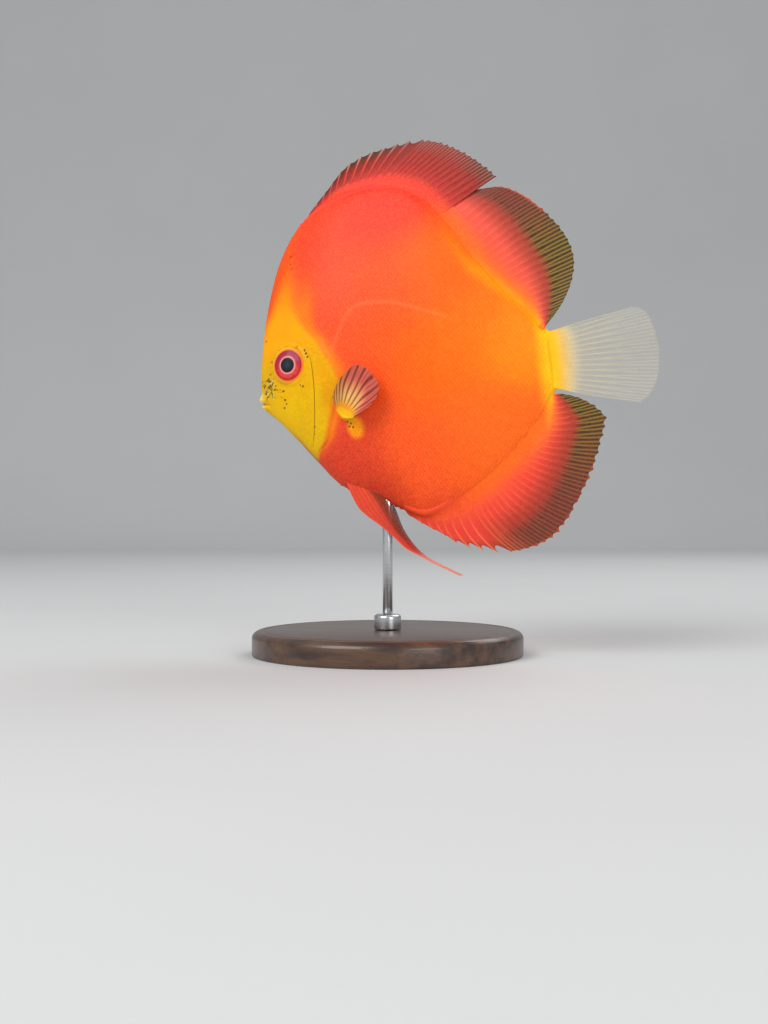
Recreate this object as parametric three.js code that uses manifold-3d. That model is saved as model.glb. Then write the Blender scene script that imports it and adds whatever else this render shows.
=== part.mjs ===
// A discus fish, life size, as a still display model on a plain stand.
// Millimetres, +Z up. The origin is the centre of the underside of the stand's base.
// The fish is drawn in a frame of its own, with its mouth at (0, 0), X towards the tail and Z
// towards the back. A group tips it nose down and lifts it onto the stand, heading along -X.
import * as THREE from 'three';
import Module from 'manifold-3d';

// Whole fish
const BODY_LENGTH = 124.6;
const NOSE_DOWN = THREE.MathUtils.degToRad(7);
const MOUTH_X = -55.5;
const MOUTH_Z = 103.7;
const GAP = 0.3;

// Body profiles, each as [distance from the mouth, value]
const BACK_LINE = [
  [0, 1.0], [1.0, 9.6], [3.9, 26.2], [8.4, 42.0], [14.7, 57.0], [22.5, 68.0], [28.6, 73.2],
  [40, 78.8], [55, 81.6], [68, 79.8], [79, 73.4], [88, 62.3], [97, 47.2], [108, 31.2],
  [116.5, 19.6], [121.5, 12.3], [BODY_LENGTH, 9.8],
];
const BELLY_LINE = [
  [0, -1.0], [0.7, -3.4], [6.4, -9.0], [14.2, -18.4], [22.2, -28.9], [31, -39.2],
  [43.5, -45.4], [52, -49.8], [59, -53.8], [67, -56.6], [78, -53.4], [92, -45.8],
  [105, -36.4], [116, -25.6], [121.5, -17.6], [BODY_LENGTH, -13.6],
];
const MID_LINE = [[0, 0], [10, 3], [20, 6], [40, 8], [70, 7], [100, 2], [BODY_LENGTH, -2]];
const HALF_WIDTH = [
  [0, 1.2], [1, 3.4], [3, 4.6], [7, 6.0], [12, 7.6], [18, 9.2], [26, 11.0], [36, 12.2],
  [48, 12.2], [62, 11.0], [80, 8.8], [98, 6.4], [112, 4.6], [120, 3.7], [123.4, 2.9],
  [BODY_LENGTH, 1.0],
];
const BACK_RIDGE = 2.3;
const BELLY_RIDGE = 3.2;
const TAIL_RIDGE = 1.6;
const STATIONS = 44;
const AROUND = 28;

// Cuts between the parts of the body
const HEAD_EDGE = [
  [25.5, 90], [26.0, 60], [27.6, 42], [28.6, 30], [32.6, 20.4], [37.9, 10], [40.6, 2.6],
  [37.6, -5.4], [33.8, -13.4], [29.6, -21.4], [24.6, -28], [20, -40],
];
const CHEEK_EDGE = [[29.2, 44], [28.9, 27.6], [28.0, 4.5], [26.4, -8], [24.4, -19.6], [20.6, -30]];
const TAIL_EDGE = [[109, 95], [110.6, 20], [111.6, 0], [110.6, -20], [109, -70]];
const JAW_EDGE = [[-3, -0.1], [3.2, -1.1], [6.2, -2.9], [8.2, -6.4], [8.8, -16]];
const COVER_THICKNESS_INSIDE = 5.4;
const CUT_REACH = 30;
const CUT_STEPS = 16;

// Eyes
const EYE = { x: 17.0, z: 12.7, across: 14.8, depth: 9.0, bulge: 1.8, rings: 8, sides: 18 };

// Fins: half thickness at the foot and at the margin
const FOOT_HALF = 1.3;
const EDGE_HALF = 0.3;
const RAY_STEPS = 4;

// Stand
const BASE = { radius: 55, height: 10, bevel: 1.5, sides: 48 };
const ROD = { radius: 2.0, intoBody: 5.0, sides: 20 };
const COLLAR = { radius: 5.5, height: 6, bevel: 0.8, sides: 24 };

const wasm = await Module();
wasm.setup();

function material(color, roughness, metalness = 0) {
  return new THREE.MeshStandardMaterial({ color, roughness, metalness });
}

const SKIN_RED = material(0xf0502a, 0.45);
const SKIN_ORANGE = material(0xf77f1e, 0.45);
const FACE_YELLOW = material(0xf2c40c, 0.45);
const FIN_RED = material(0xd8483a, 0.5);
const FIN_CLEAR = material(0xe6dcae, 0.4);
const EYE_RED = material(0xb23a44, 0.15);
const STAND_WOOD = material(0x3b2b20, 0.55);
const STAND_STEEL = material(0xb8bcc0, 0.35, 1);

// Value of a profile at a distance from the mouth. The distance is squeezed by a square root,
// so that a profile can leave the mouth steeply, and slopes come from the neighbouring points.
function profile(points, distance) {
  const place = (d) => Math.sqrt(Math.max(d, 0) + 0.02);
  const at = place(distance);
  const xs = points.map(([d]) => place(d));
  const ys = points.map(([, value]) => value);
  const last = xs.length - 1;
  let i = 0;
  while (i < last - 1 && at > xs[i + 1]) i += 1;
  const slope = (k) => {
    const low = Math.max(k - 1, 0);
    const high = Math.min(k + 1, last);
    return (ys[high] - ys[low]) / (xs[high] - xs[low]);
  };
  const span = xs[i + 1] - xs[i];
  const t = THREE.MathUtils.clamp((at - xs[i]) / span, 0, 1);
  const blend = t * t * (3 - 2 * t);
  const startPull = t * (1 - t) * (1 - t) * span * slope(i);
  const endPull = t * t * (t - 1) * span * slope(i + 1);
  return ys[i] * (1 - blend) + ys[i + 1] * blend + startPull + endPull;
}

const backAt = (x) => profile(BACK_LINE, x);
const bellyAt = (x) => profile(BELLY_LINE, x);

// Half width of the body at a height given as a share of the way from the mid line to the edge:
// a lens that thins towards the edge, and a narrow rounded ridge along it.
function halfWidth(x, share) {
  const full = profile(HALF_WIDTH, x);
  const taper = THREE.MathUtils.smoothstep(x, 60, BODY_LENGTH);
  const front = share > 0 ? BACK_RIDGE : BELLY_RIDGE;
  const ridge = Math.min(THREE.MathUtils.lerp(front, TAIL_RIDGE, taper), full * 0.6);
  const lens = (full - ridge) * (1 - Math.abs(share) ** 2);
  return lens + ridge * Math.sqrt(Math.max(1 - Math.abs(share) ** 12, 0));
}

function heightAt(x, share) {
  const mid = profile(MID_LINE, x);
  return share > 0 ? mid + share * (backAt(x) - mid) : mid + share * (mid - bellyAt(x));
}

// Closed surface through rings of equal length, with a fan of triangles over each end.
function loft(rings) {
  const count = rings[0].length;
  const points = rings.flat();
  const index = [];
  for (let r = 0; r + 1 < rings.length; r += 1) {
    for (let k = 0; k < count; k += 1) {
      const a = r * count + k;
      const b = r * count + ((k + 1) % count);
      index.push(a, b, a + count, b, b + count, a + count);
    }
  }
  for (const [ring, flip] of [[0, true], [rings.length - 1, false]]) {
    const middle = rings[ring].reduce((sum, p) => sum.add(p), new THREE.Vector3());
    const centre = points.push(middle.divideScalar(count)) - 1;
    for (let k = 0; k < count; k += 1) {
      const a = ring * count + k;
      const b = ring * count + ((k + 1) % count);
      index.push(centre, ...(flip ? [b, a] : [a, b]));
    }
  }
  return closed(points, index);
}

// Geometry of a closed body whose faces point out, whichever way its rings ran.
function closed(points, index) {
  let volume = 0;
  for (let i = 0; i < index.length; i += 3) {
    const [a, b, c] = [0, 1, 2].map((k) => points[index[i + k]]);
    volume += a.dot(new THREE.Vector3().crossVectors(b, c));
  }
  if (volume < 0) index.reverse();
  const geometry = new THREE.BufferGeometry().setFromPoints(points);
  geometry.setIndex(index);
  return geometry;
}

function toSolid(geometry) {
  return new wasm.Manifold(new wasm.Mesh({
    numProp: 3,
    vertProperties: new Float32Array(geometry.attributes.position.array),
    triVerts: new Uint32Array(geometry.index.array),
  }));
}

function toGeometry(solid) {
  const mesh = solid.getMesh();
  const geometry = new THREE.BufferGeometry();
  geometry.setAttribute('position', new THREE.BufferAttribute(mesh.vertProperties, 3));
  geometry.setIndex(new THREE.BufferAttribute(mesh.triVerts, 1));
  return geometry;
}

function wholeBody() {
  const rings = [];
  for (let s = 0; s <= STATIONS; s += 1) {
    const x = BODY_LENGTH * (s / STATIONS) ** 1.7;
    const ring = [];
    for (let k = 0; k < AROUND; k += 1) {
      const angle = (2 * Math.PI * (k + 0.5)) / AROUND;
      const share = Math.sin(angle);
      const side = Math.sign(Math.cos(angle));
      ring.push(new THREE.Vector3(x, side * halfWidth(x, share), heightAt(x, share)));
    }
    rings.push(ring);
  }
  return toSolid(loft(rings));
}

// Solid that stands on an outline in the fish's own plane and runs from one Y to another.
function prism(outline, fromY, toY) {
  const front = outline.map((p) => new THREE.Vector2(p.x, p.y));
  const faces = THREE.ShapeUtils.triangulateShape(front, []);
  const points = [fromY, toY].flatMap((y) => front.map((p) => new THREE.Vector3(p.x, y, p.y)));
  const count = front.length;
  const turned = THREE.ShapeUtils.isClockWise(front);
  const index = [];
  for (const [a, b, c] of faces) {
    index.push(a, b, c, a + count, c + count, b + count);
  }
  for (let k = 0; k < count; k += 1) {
    const next = (k + 1) % count;
    const [a, b] = turned ? [next, k] : [k, next];
    index.push(b, a, a + count, b, a + count, b + count);
  }
  return toSolid(closed(points, index));
}

const curvePoints = (points, steps) => new THREE.SplineCurve(
  points.map(([x, z]) => new THREE.Vector2(x, z)),
).getPoints(steps);

// Thin wall along a curve, which parts two pieces.
function slit(points, fromY = -CUT_REACH, toY = CUT_REACH) {
  const line = curvePoints(points, CUT_STEPS);
  const side = (sign) => line.map((p, i) => {
    const before = line[Math.max(i - 1, 0)];
    const after = line[Math.min(i + 1, line.length - 1)];
    const along = after.clone().sub(before).normalize();
    return new THREE.Vector2(p.x - along.y * sign * GAP / 2, p.y + along.x * sign * GAP / 2);
  });
  return prism([...side(1), ...side(-1).reverse()], fromY, toY);
}

// Everything ahead of a curve that runs from the top to the bottom.
function ahead(points, fromX) {
  const line = curvePoints(points, CUT_STEPS);
  const corners = [
    new THREE.Vector2(fromX, line[line.length - 1].y),
    new THREE.Vector2(fromX, line[0].y),
  ];
  return prism([...line, ...corners], -CUT_REACH, CUT_REACH);
}

// Eyeball, a flattened ball whose outer side stands a little proud of the head.
function eyeball(side, grow = 0) {
  const share = (EYE.z - profile(MID_LINE, EYE.x)) / (backAt(EYE.x) - profile(MID_LINE, EYE.x));
  const out = halfWidth(EYE.x, share) + EYE.bulge - EYE.depth / 2;
  const rings = [];
  for (let s = 1; s < EYE.rings; s += 1) {
    const tilt = (Math.PI * s) / EYE.rings;
    const ring = [];
    for (let k = 0; k < EYE.sides; k += 1) {
      const turn = (2 * Math.PI * k) / EYE.sides;
      const radius = (EYE.across / 2 + grow) * Math.sin(tilt);
      ring.push(new THREE.Vector3(
        EYE.x + radius * Math.cos(turn),
        side * (out + (EYE.depth / 2 + grow) * Math.cos(tilt)),
        EYE.z + radius * Math.sin(turn),
      ));
    }
    rings.push(ring);
  }
  return loft(rings);
}

// Fin plate between a foot line and a margin, ruled by rays that bow by a share of their length.
// Each ray is a flat strip seen end on: wide at the foot, thin at the margin.
function finPlate({ foot, margin, bow, steps, thick = FOOT_HALF, place = flat }) {
  const rings = [];
  for (let s = 0; s <= steps; s += 1) {
    const start = foot(s / steps);
    const end = margin(s / steps);
    const along = end.clone().sub(start);
    const lift = new THREE.Vector2(-along.y, along.x).multiplyScalar(2 * bow(s / steps));
    const control = start.clone().lerp(end, 0.5).add(lift);
    const ray = new THREE.QuadraticBezierCurve(start, control, end);
    const left = [];
    const right = [];
    for (let k = 0; k <= RAY_STEPS; k += 1) {
      const share = k / RAY_STEPS;
      const p = ray.getPoint(share);
      const half = THREE.MathUtils.lerp(thick, EDGE_HALF, Math.sqrt(share));
      left.push(place(p, -half, share, s / steps));
      right.unshift(place(p, half, share, s / steps));
    }
    rings.push([...left, ...right]);
  }
  return loft(rings);
}

// A fin in the fish's middle plane
const flat = (p, y) => new THREE.Vector3(p.x, y, p.y);

const lineThrough = (points) => {
  const curve = new THREE.SplineCurve(points.map(([x, z]) => new THREE.Vector2(x, z)));
  return (u) => curve.getPointAt(u);
};

// Foot line of a fin along the back or the belly, a gap clear of the body.
const footAlong = (line, fromX, toX, side) => (u) => {
  const x = THREE.MathUtils.lerp(fromX, toX, u);
  const slope = (line(x + 0.5) - line(x - 0.5)) / 1;
  const away = new THREE.Vector2(-slope, 1).normalize().multiplyScalar(side * (GAP + 0.1));
  return new THREE.Vector2(x, line(x)).add(away);
};

const FINS = {
  dorsal_fin_front: {
    foot: footAlong(backAt, 29.2, 86.8, 1),
    margin: lineThrough([
      [30.2, 74.9], [35.7, 79.8], [40.7, 84.0], [45.9, 88.8], [52, 92.4], [60, 94.6],
      [70, 95.6], [79.5, 95.6], [88, 93.2], [96, 88.8], [104, 82.2], [111.7, 74.0],
    ]),
    bow: (u) => 0.03 + 0.09 * u ** 4,
    steps: 20,
  },
  dorsal_fin_rear: {
    foot: footAlong(backAt, 87.4, 122.6, 1),
    margin: lineThrough([
      [103.4, 70.4], [112, 69.6], [117.8, 66.9], [123.3, 62.4], [128.7, 56.6], [134, 49],
      [137.2, 41.4], [137.6, 34.0], [135.2, 26.0], [130.4, 18.6], [124.8, 13.0],
    ]),
    bow: (u) => 0.08 * (1 - u) ** 2,
    steps: 18,
  },
  anal_fin_front: {
    foot: footAlong(bellyAt, 57.4, 85.6, -1),
    margin: lineThrough([
      [58.6, -54.9], [65.9, -60.3], [73.2, -65.0], [78, -68.8], [85, -71.6], [92.3, -73.3],
      [99, -74.0], [106, -73.2],
    ]),
    bow: (u) => -0.04 * u,
    steps: 14,
  },
  anal_fin_rear: {
    foot: footAlong(bellyAt, 86.2, 123.2, -1),
    margin: lineThrough([
      [106.8, -73.1], [113, -72.0], [119, -68.8], [125.5, -61.8], [132, -52.2], [137.6, -41.8],
      [141.6, -31.4], [142.6, -25.4], [134.6, -18.6], [126.8, -15.4],
    ]),
    bow: () => -0.03,
    steps: 18,
  },
  caudal_fin: {
    foot: lineThrough([[125.1, 8.8], [125.3, -2], [125.1, -12.6]]),
    margin: lineThrough([
      [158, 13.6], [163, 10.6], [165.4, 3], [166, -5], [164.6, -13], [161.4, -20], [156.6, -23.6],
    ]),
    bow: (u) => 0.02 * (0.5 - u),
    steps: 14,
  },
};

// Paired fins. A pectoral fin fans out from a short foot, and stands further from the body
// along each ray. A pelvic fin is a tapering strip between its front and rear edges, and spreads
// further from the middle towards its thin tip.
const PECTORAL = {
  foot: [[37.8, -8.8], [40.6, -11.8], [44.0, -13.8]],
  margin: [
    [38.8, -4.4], [41.9, 1.2], [46.8, 5.6], [51.2, 7.0], [55.2, 5.0], [58.2, 0.4], [59.2, -2.6],
    [57.4, -7.6], [53.0, -11.4], [47.2, -13.8],
  ],
  rootY: 12.9,
  flare: 6.5,
  steps: 12,
};
const PELVIC = {
  front: [
    [34.2, -41.4], [38.9, -48.2], [44.0, -54.8], [50.0, -60.4], [56.0, -65.4], [63.0, -70.9],
    [70.0, -76.2], [77.0, -81.6],
  ],
  rear: [
    [44.4, -46.8], [47.6, -50.4], [51.4, -55.6], [56.8, -62.4], [62.8, -68.8], [69.9, -75.0],
    [77.4, -81.0],
  ],
  rootY: 3.4,
  spread: 3.0,
  thick: 0.8,
  steps: 18,
};

function pectoralFin(side) {
  const out = (share) => side * (PECTORAL.rootY + PECTORAL.flare * share);
  return finPlate({
    foot: lineThrough(PECTORAL.foot),
    margin: lineThrough(PECTORAL.margin),
    bow: () => 0,
    steps: PECTORAL.steps,
    place: (p, y, share) => new THREE.Vector3(p.x, out(share) + y, p.y),
  });
}

function pelvicFin(side) {
  const out = (u) => side * (PELVIC.rootY + PELVIC.spread * u);
  return finPlate({
    foot: lineThrough(PELVIC.front),
    margin: lineThrough(PELVIC.rear),
    bow: () => 0,
    steps: PELVIC.steps,
    thick: PELVIC.thick,
    place: (p, y, share, u) => new THREE.Vector3(p.x, out(u) + y, p.y),
  });
}

// Round upright piece with a bevelled top edge, from one height to another.
function roundPiece(radius, fromZ, toZ, bevel, sides) {
  const outline = [
    [0, fromZ], [radius - bevel / 3, fromZ], [radius, fromZ + bevel / 3],
    [radius, toZ - bevel], [radius - bevel, toZ], [0, toZ],
  ].map(([r, z]) => new THREE.Vector2(r, z));
  const geometry = new THREE.LatheGeometry(outline, sides);
  geometry.rotateX(Math.PI / 2);
  return geometry;
}

const model = new THREE.Group();
const fish = new THREE.Group();
fish.position.set(MOUTH_X, 0, MOUTH_Z);
fish.rotation.y = -NOSE_DOWN;
model.add(fish);

function place(parent, name, geometry, finish) {
  const mesh = new THREE.Mesh(geometry, finish);
  mesh.name = name;
  parent.add(mesh);
}

// Height of the underside of the belly over the stand's centre, in the model's frame.
function rodTop() {
  const sin = Math.sin(NOSE_DOWN);
  const cos = Math.cos(NOSE_DOWN);
  let x = 50;
  for (let i = 0; i < 20; i += 1) {
    x -= MOUTH_X + x * cos - bellyAt(x) * sin;
  }
  return MOUTH_Z + x * sin + bellyAt(x) * cos;
}

// Hole in the belly for the rod, turned back into the fish's own frame.
function rodHole(top) {
  const hole = new THREE.CylinderGeometry(ROD.radius + GAP, ROD.radius + GAP, 30, ROD.sides);
  hole.rotateX(Math.PI / 2);
  hole.translate(-MOUTH_X, 0, top + ROD.intoBody + GAP - 15 - MOUTH_Z);
  hole.rotateY(NOSE_DOWN);
  return toSolid(merged(hole));
}

function merged(geometry) {
  const source = geometry.index ? geometry.toNonIndexed() : geometry;
  const position = source.attributes.position;
  const seen = new Map();
  const points = [];
  const index = [];
  for (let i = 0; i < position.count; i += 1) {
    const p = new THREE.Vector3().fromBufferAttribute(position, i);
    const key = p.toArray().map((v) => Math.round(v * 1e4)).join(',');
    if (!seen.has(key)) seen.set(key, points.push(p) - 1);
    index.push(seen.get(key));
  }
  const kept = [];
  for (let i = 0; i < index.length; i += 3) {
    const [a, b, c] = index.slice(i, i + 3);
    if (a !== b && b !== c && c !== a) kept.push(a, b, c);
  }
  return closed(points, kept);
}

function addBody() {
  const body = wholeBody();
  const top = rodTop();
  const headBlock = ahead(HEAD_EDGE, -20);
  const jawBlock = prism(
    [...curvePoints(JAW_EDGE, CUT_STEPS), new THREE.Vector2(-3, -16)],
    -CUT_REACH,
    CUT_REACH,
  );
  const cheekBlock = ahead(CHEEK_EDGE, -20);
  const tailBlock = ahead(TAIL_EDGE, -20);
  const eyeRoom = toSolid(eyeball(-1, GAP)).add(toSolid(eyeball(1, GAP)));

  let head = body.intersect(headBlock).subtract(slit(HEAD_EDGE));
  for (const side of [-1, 1]) {
    const inner = side * COVER_THICKNESS_INSIDE;
    const outer = side * CUT_REACH;
    const room = side * (COVER_THICKNESS_INSIDE - GAP);
    const reach = prism(
      [[20, 27.6], [50, 27.6], [50, -40], [10, -40]].map(([x, z]) => new THREE.Vector2(x, z)),
      Math.min(inner, outer),
      Math.max(inner, outer),
    );
    const cover = head.intersect(reach).subtract(cheekBlock).subtract(slit(CHEEK_EDGE));
    place(fish, `gill_cover_${side < 0 ? 'left' : 'right'}`, toGeometry(cover), FACE_YELLOW);
    const hollow = prism(
      [[20, 27.9], [50, 27.9], [50, -40], [10, -40]].map(([x, z]) => new THREE.Vector2(x, z)),
      Math.min(room, outer),
      Math.max(room, outer),
    );
    head = head.subtract(hollow.subtract(cheekBlock));
  }
  const jaw = head.intersect(jawBlock).subtract(slit(JAW_EDGE));
  head = head.subtract(jawBlock).subtract(slit(JAW_EDGE)).subtract(eyeRoom);
  const behind = body.subtract(headBlock).subtract(slit(HEAD_EDGE));
  const trunk = behind.intersect(tailBlock).subtract(slit(TAIL_EDGE)).subtract(rodHole(top));
  const tail = behind.subtract(tailBlock).subtract(slit(TAIL_EDGE));

  place(fish, 'head', toGeometry(head), FACE_YELLOW);
  place(fish, 'lower_jaw', toGeometry(jaw), FACE_YELLOW);
  place(fish, 'trunk', toGeometry(trunk), SKIN_RED);
  place(fish, 'tail_stem', toGeometry(tail), SKIN_ORANGE);
}

function addEyes() {
  place(fish, 'eye_left', eyeball(-1), EYE_RED);
  place(fish, 'eye_right', eyeball(1), EYE_RED);
}

function addFins() {
  for (const [name, shape] of Object.entries(FINS)) {
    place(fish, name, finPlate(shape), name === 'caudal_fin' ? FIN_CLEAR : FIN_RED);
  }
  for (const [side, word] of [[-1, 'left'], [1, 'right']]) {
    place(fish, `pectoral_fin_${word}`, pectoralFin(side), FIN_RED);
    place(fish, `pelvic_fin_${word}`, pelvicFin(side), FIN_RED);
  }
}

function addStand() {
  const top = rodTop() + ROD.intoBody;
  const base = roundPiece(BASE.radius, 0, BASE.height, BASE.bevel, BASE.sides);
  const rod = roundPiece(ROD.radius, BASE.height + GAP, top, 0.3, ROD.sides);
  const collarFrom = BASE.height + GAP;
  const collar = toSolid(merged(roundPiece(
    COLLAR.radius,
    collarFrom,
    collarFrom + COLLAR.height,
    COLLAR.bevel,
    COLLAR.sides,
  )));
  const bore = new THREE.CylinderGeometry(ROD.radius + GAP, ROD.radius + GAP, 40, ROD.sides);
  bore.rotateX(Math.PI / 2);
  bore.translate(0, 0, collarFrom);
  place(model, 'stand_base', merged(base), STAND_WOOD);
  place(model, 'stand_rod', merged(rod), STAND_STEEL);
  place(model, 'stand_collar', toGeometry(collar.subtract(toSolid(merged(bore)))), STAND_STEEL);
}

addBody();
addEyes();
addFins();
addStand();

export default model;
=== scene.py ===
"""A discus fish, life size, swimming on a plain display stand.

The fish is drawn in millimetres in a frame of its own: the mouth at the origin, X towards the
tail, Z towards the back, and its left side at negative Y. FishFrame turns that into the metres
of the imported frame. One skin covers head, trunk and tail stem, solid scales lie over it, and
the eyes, fins and stand are pieces of their own.
"""
from __future__ import annotations

import logging
import math
import sys
from collections.abc import Callable
from dataclasses import dataclass, field
from enum import Enum

import bpy
import numpy as np
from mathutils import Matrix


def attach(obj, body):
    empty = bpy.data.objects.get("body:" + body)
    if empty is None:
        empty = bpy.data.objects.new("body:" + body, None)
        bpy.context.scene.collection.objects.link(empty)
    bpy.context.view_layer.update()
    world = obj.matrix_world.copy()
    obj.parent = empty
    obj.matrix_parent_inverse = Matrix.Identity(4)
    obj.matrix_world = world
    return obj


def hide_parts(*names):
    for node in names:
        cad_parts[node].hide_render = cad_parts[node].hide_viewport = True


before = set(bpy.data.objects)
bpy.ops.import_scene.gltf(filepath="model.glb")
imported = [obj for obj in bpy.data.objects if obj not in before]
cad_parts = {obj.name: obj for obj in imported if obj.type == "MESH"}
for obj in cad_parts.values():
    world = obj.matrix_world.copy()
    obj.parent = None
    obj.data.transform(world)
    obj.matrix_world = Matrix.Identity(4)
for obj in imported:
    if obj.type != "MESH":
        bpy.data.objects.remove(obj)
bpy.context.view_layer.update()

LOG = logging.getLogger("discus")
ROOT = "root"
Array = np.ndarray
Curve = Callable[[Array], Array]
Colour = tuple[int, int, int]
Pair = tuple[float, float]
Triple = tuple[float, float, float]
Box = tuple[float, float, float, float]
Points = tuple[Pair, ...]


class Side(Enum):
    """A side of the fish, with the sign that its Y has."""

    LEFT = -1
    RIGHT = 1

    @property
    def word(self) -> str:
        """Name of the side, as the nodes write it."""
        return self.name.lower()


def linear(colour: Colour | Array) -> Array:
    """Turn a screen colour of 0 to 255 into linear light.

    Args:
        colour: a tuple of red, green and blue, or an array that is linear light already.

    Returns:
        The three channels, each divided by 255 and raised by the screen's own curve. An array
        comes back as it is.
    """
    if not isinstance(colour, tuple):
        return colour
    share = np.array(colour) / 255.0
    return np.where(share <= 0.04045, share / 12.92, ((share + 0.055) / 1.055) ** 2.4)


def smooth(low: float | Array, high: float | Array, value: Array) -> Array:
    """Step from 0 at low to 1 at high along the curve 3t^2 - 2t^3."""
    t = np.clip((value - low) / (high - low), 0.0, 1.0)
    return t * t * (3.0 - 2.0 * t)


def bell(distance: Array, width: float | Array) -> Array:
    """Bump of height 1 at no distance, falling as exp(-(distance / width)^2)."""
    return np.exp(-((distance / width) ** 2))


def blend(first: Colour | Array, second: Colour | Array, share: Array) -> Array:
    """Mix two colours, or rows of colours, by a share for each row."""
    start, end = linear(first), linear(second)
    return start + (end - start) * share[..., None]


def read_line(line: Points, at: Array) -> Array:
    """Give the value of a line of (place, value) points at each place, straight between them."""
    table = np.array(line)
    return np.interp(at, table[:, 0], table[:, 1])


@dataclass(frozen=True)
class Swell:
    """A soft ridge beside a line or round a point, or a groove where its height is below 0."""

    height: float
    at: float
    width: float

    def __call__(self, distance: Array) -> Array:
        """Give height * exp(-((distance - at) / width)^2)."""
        return self.height * bell(distance - self.at, self.width)


@dataclass(frozen=True)
class Profile:
    """A smooth value along the body, through points of (distance from the mouth, value).

    The distance is squeezed by a square root, so that a profile can leave the mouth steeply,
    and each piece is a cubic whose end slopes come from the neighbouring points.
    """

    points: Points
    ease: float = 0.02

    def __call__(self, distance: Array) -> Array:
        """Give the value at each distance."""
        table = np.array(self.points)
        places = np.sqrt(table[:, 0] + self.ease)
        values = table[:, 1]
        at = np.sqrt(np.maximum(distance, 0.0) + self.ease)
        slopes = np.empty_like(values)
        slopes[1:-1] = (values[2:] - values[:-2]) / (places[2:] - places[:-2])
        slopes[0] = (values[1] - values[0]) / (places[1] - places[0])
        slopes[-1] = (values[-1] - values[-2]) / (places[-1] - places[-2])
        i = np.clip(np.searchsorted(places, at) - 1, 0, len(places) - 2)
        span = places[i + 1] - places[i]
        t = np.clip((at - places[i]) / span, 0.0, 1.0)
        rise = t * t * (3.0 - 2.0 * t)
        start = t * (1.0 - t) ** 2 * span * slopes[i]
        end = t * t * (t - 1.0) * span * slopes[i + 1]
        return values[i] * (1.0 - rise) + values[i + 1] * rise + start + end


@dataclass(frozen=True)
class Spline:
    """A smooth curve through points of the fish's plane, walked by its own length."""

    points: Points
    steps: int = 40

    def __call__(self, share: Array) -> Array:
        """Give the point at each share of the length.

        A piece between points B and C, with neighbours A and D, is the Catmull-Rom cubic
        B + (C-A)t/2 + (2A-5B+4C-D)t^2/2 + (3B-A-3C+D)t^3/2.
        """
        knots = np.array(self.points)
        padded = np.vstack([knots[0], knots, knots[-1]])
        t = np.linspace(0.0, 1.0, self.steps, endpoint=False)[None, :, None]
        a, b, c, d = (padded[k:len(padded) - 3 + k, None, :] for k in range(4))
        cubic = b + 0.5 * t * ((c - a) + t * ((2 * a - 5 * b + 4 * c - d)
                                              + t * (3 * (b - c) + d - a)))
        line = np.vstack([cubic.reshape(-1, 2), knots[-1]])
        walked = np.concatenate([[0.0], np.cumsum(np.linalg.norm(np.diff(line, axis=0), axis=1))])
        at = np.clip(share, 0.0, 1.0) * walked[-1]
        return np.stack([np.interp(at, walked, line[:, k]) for k in (0, 1)], axis=-1)


@dataclass(frozen=True)
class FishFrame:
    """Where the fish hangs over its stand: the mouth's place and how far it tips nose down."""

    mouth_x: float = -55.5
    mouth_z: float = 103.7
    nose_down: float = math.radians(7.0)

    def to_world(self, points: Array) -> Array:
        """Turn millimetres of the fish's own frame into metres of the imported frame.

        Args:
            points: rows of x, y, z.

        Returns:
            Rows turned about Y by the nose-down angle, moved to the mouth's place, in metres.
        """
        cos, sin = math.cos(self.nose_down), math.sin(self.nose_down)
        x, y, z = points[..., 0], points[..., 1], points[..., 2]
        turned = [self.mouth_x + x * cos - z * sin, y, self.mouth_z + x * sin + z * cos]
        return np.stack(turned, axis=-1) / 1000.0


FISH = FishFrame()


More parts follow.
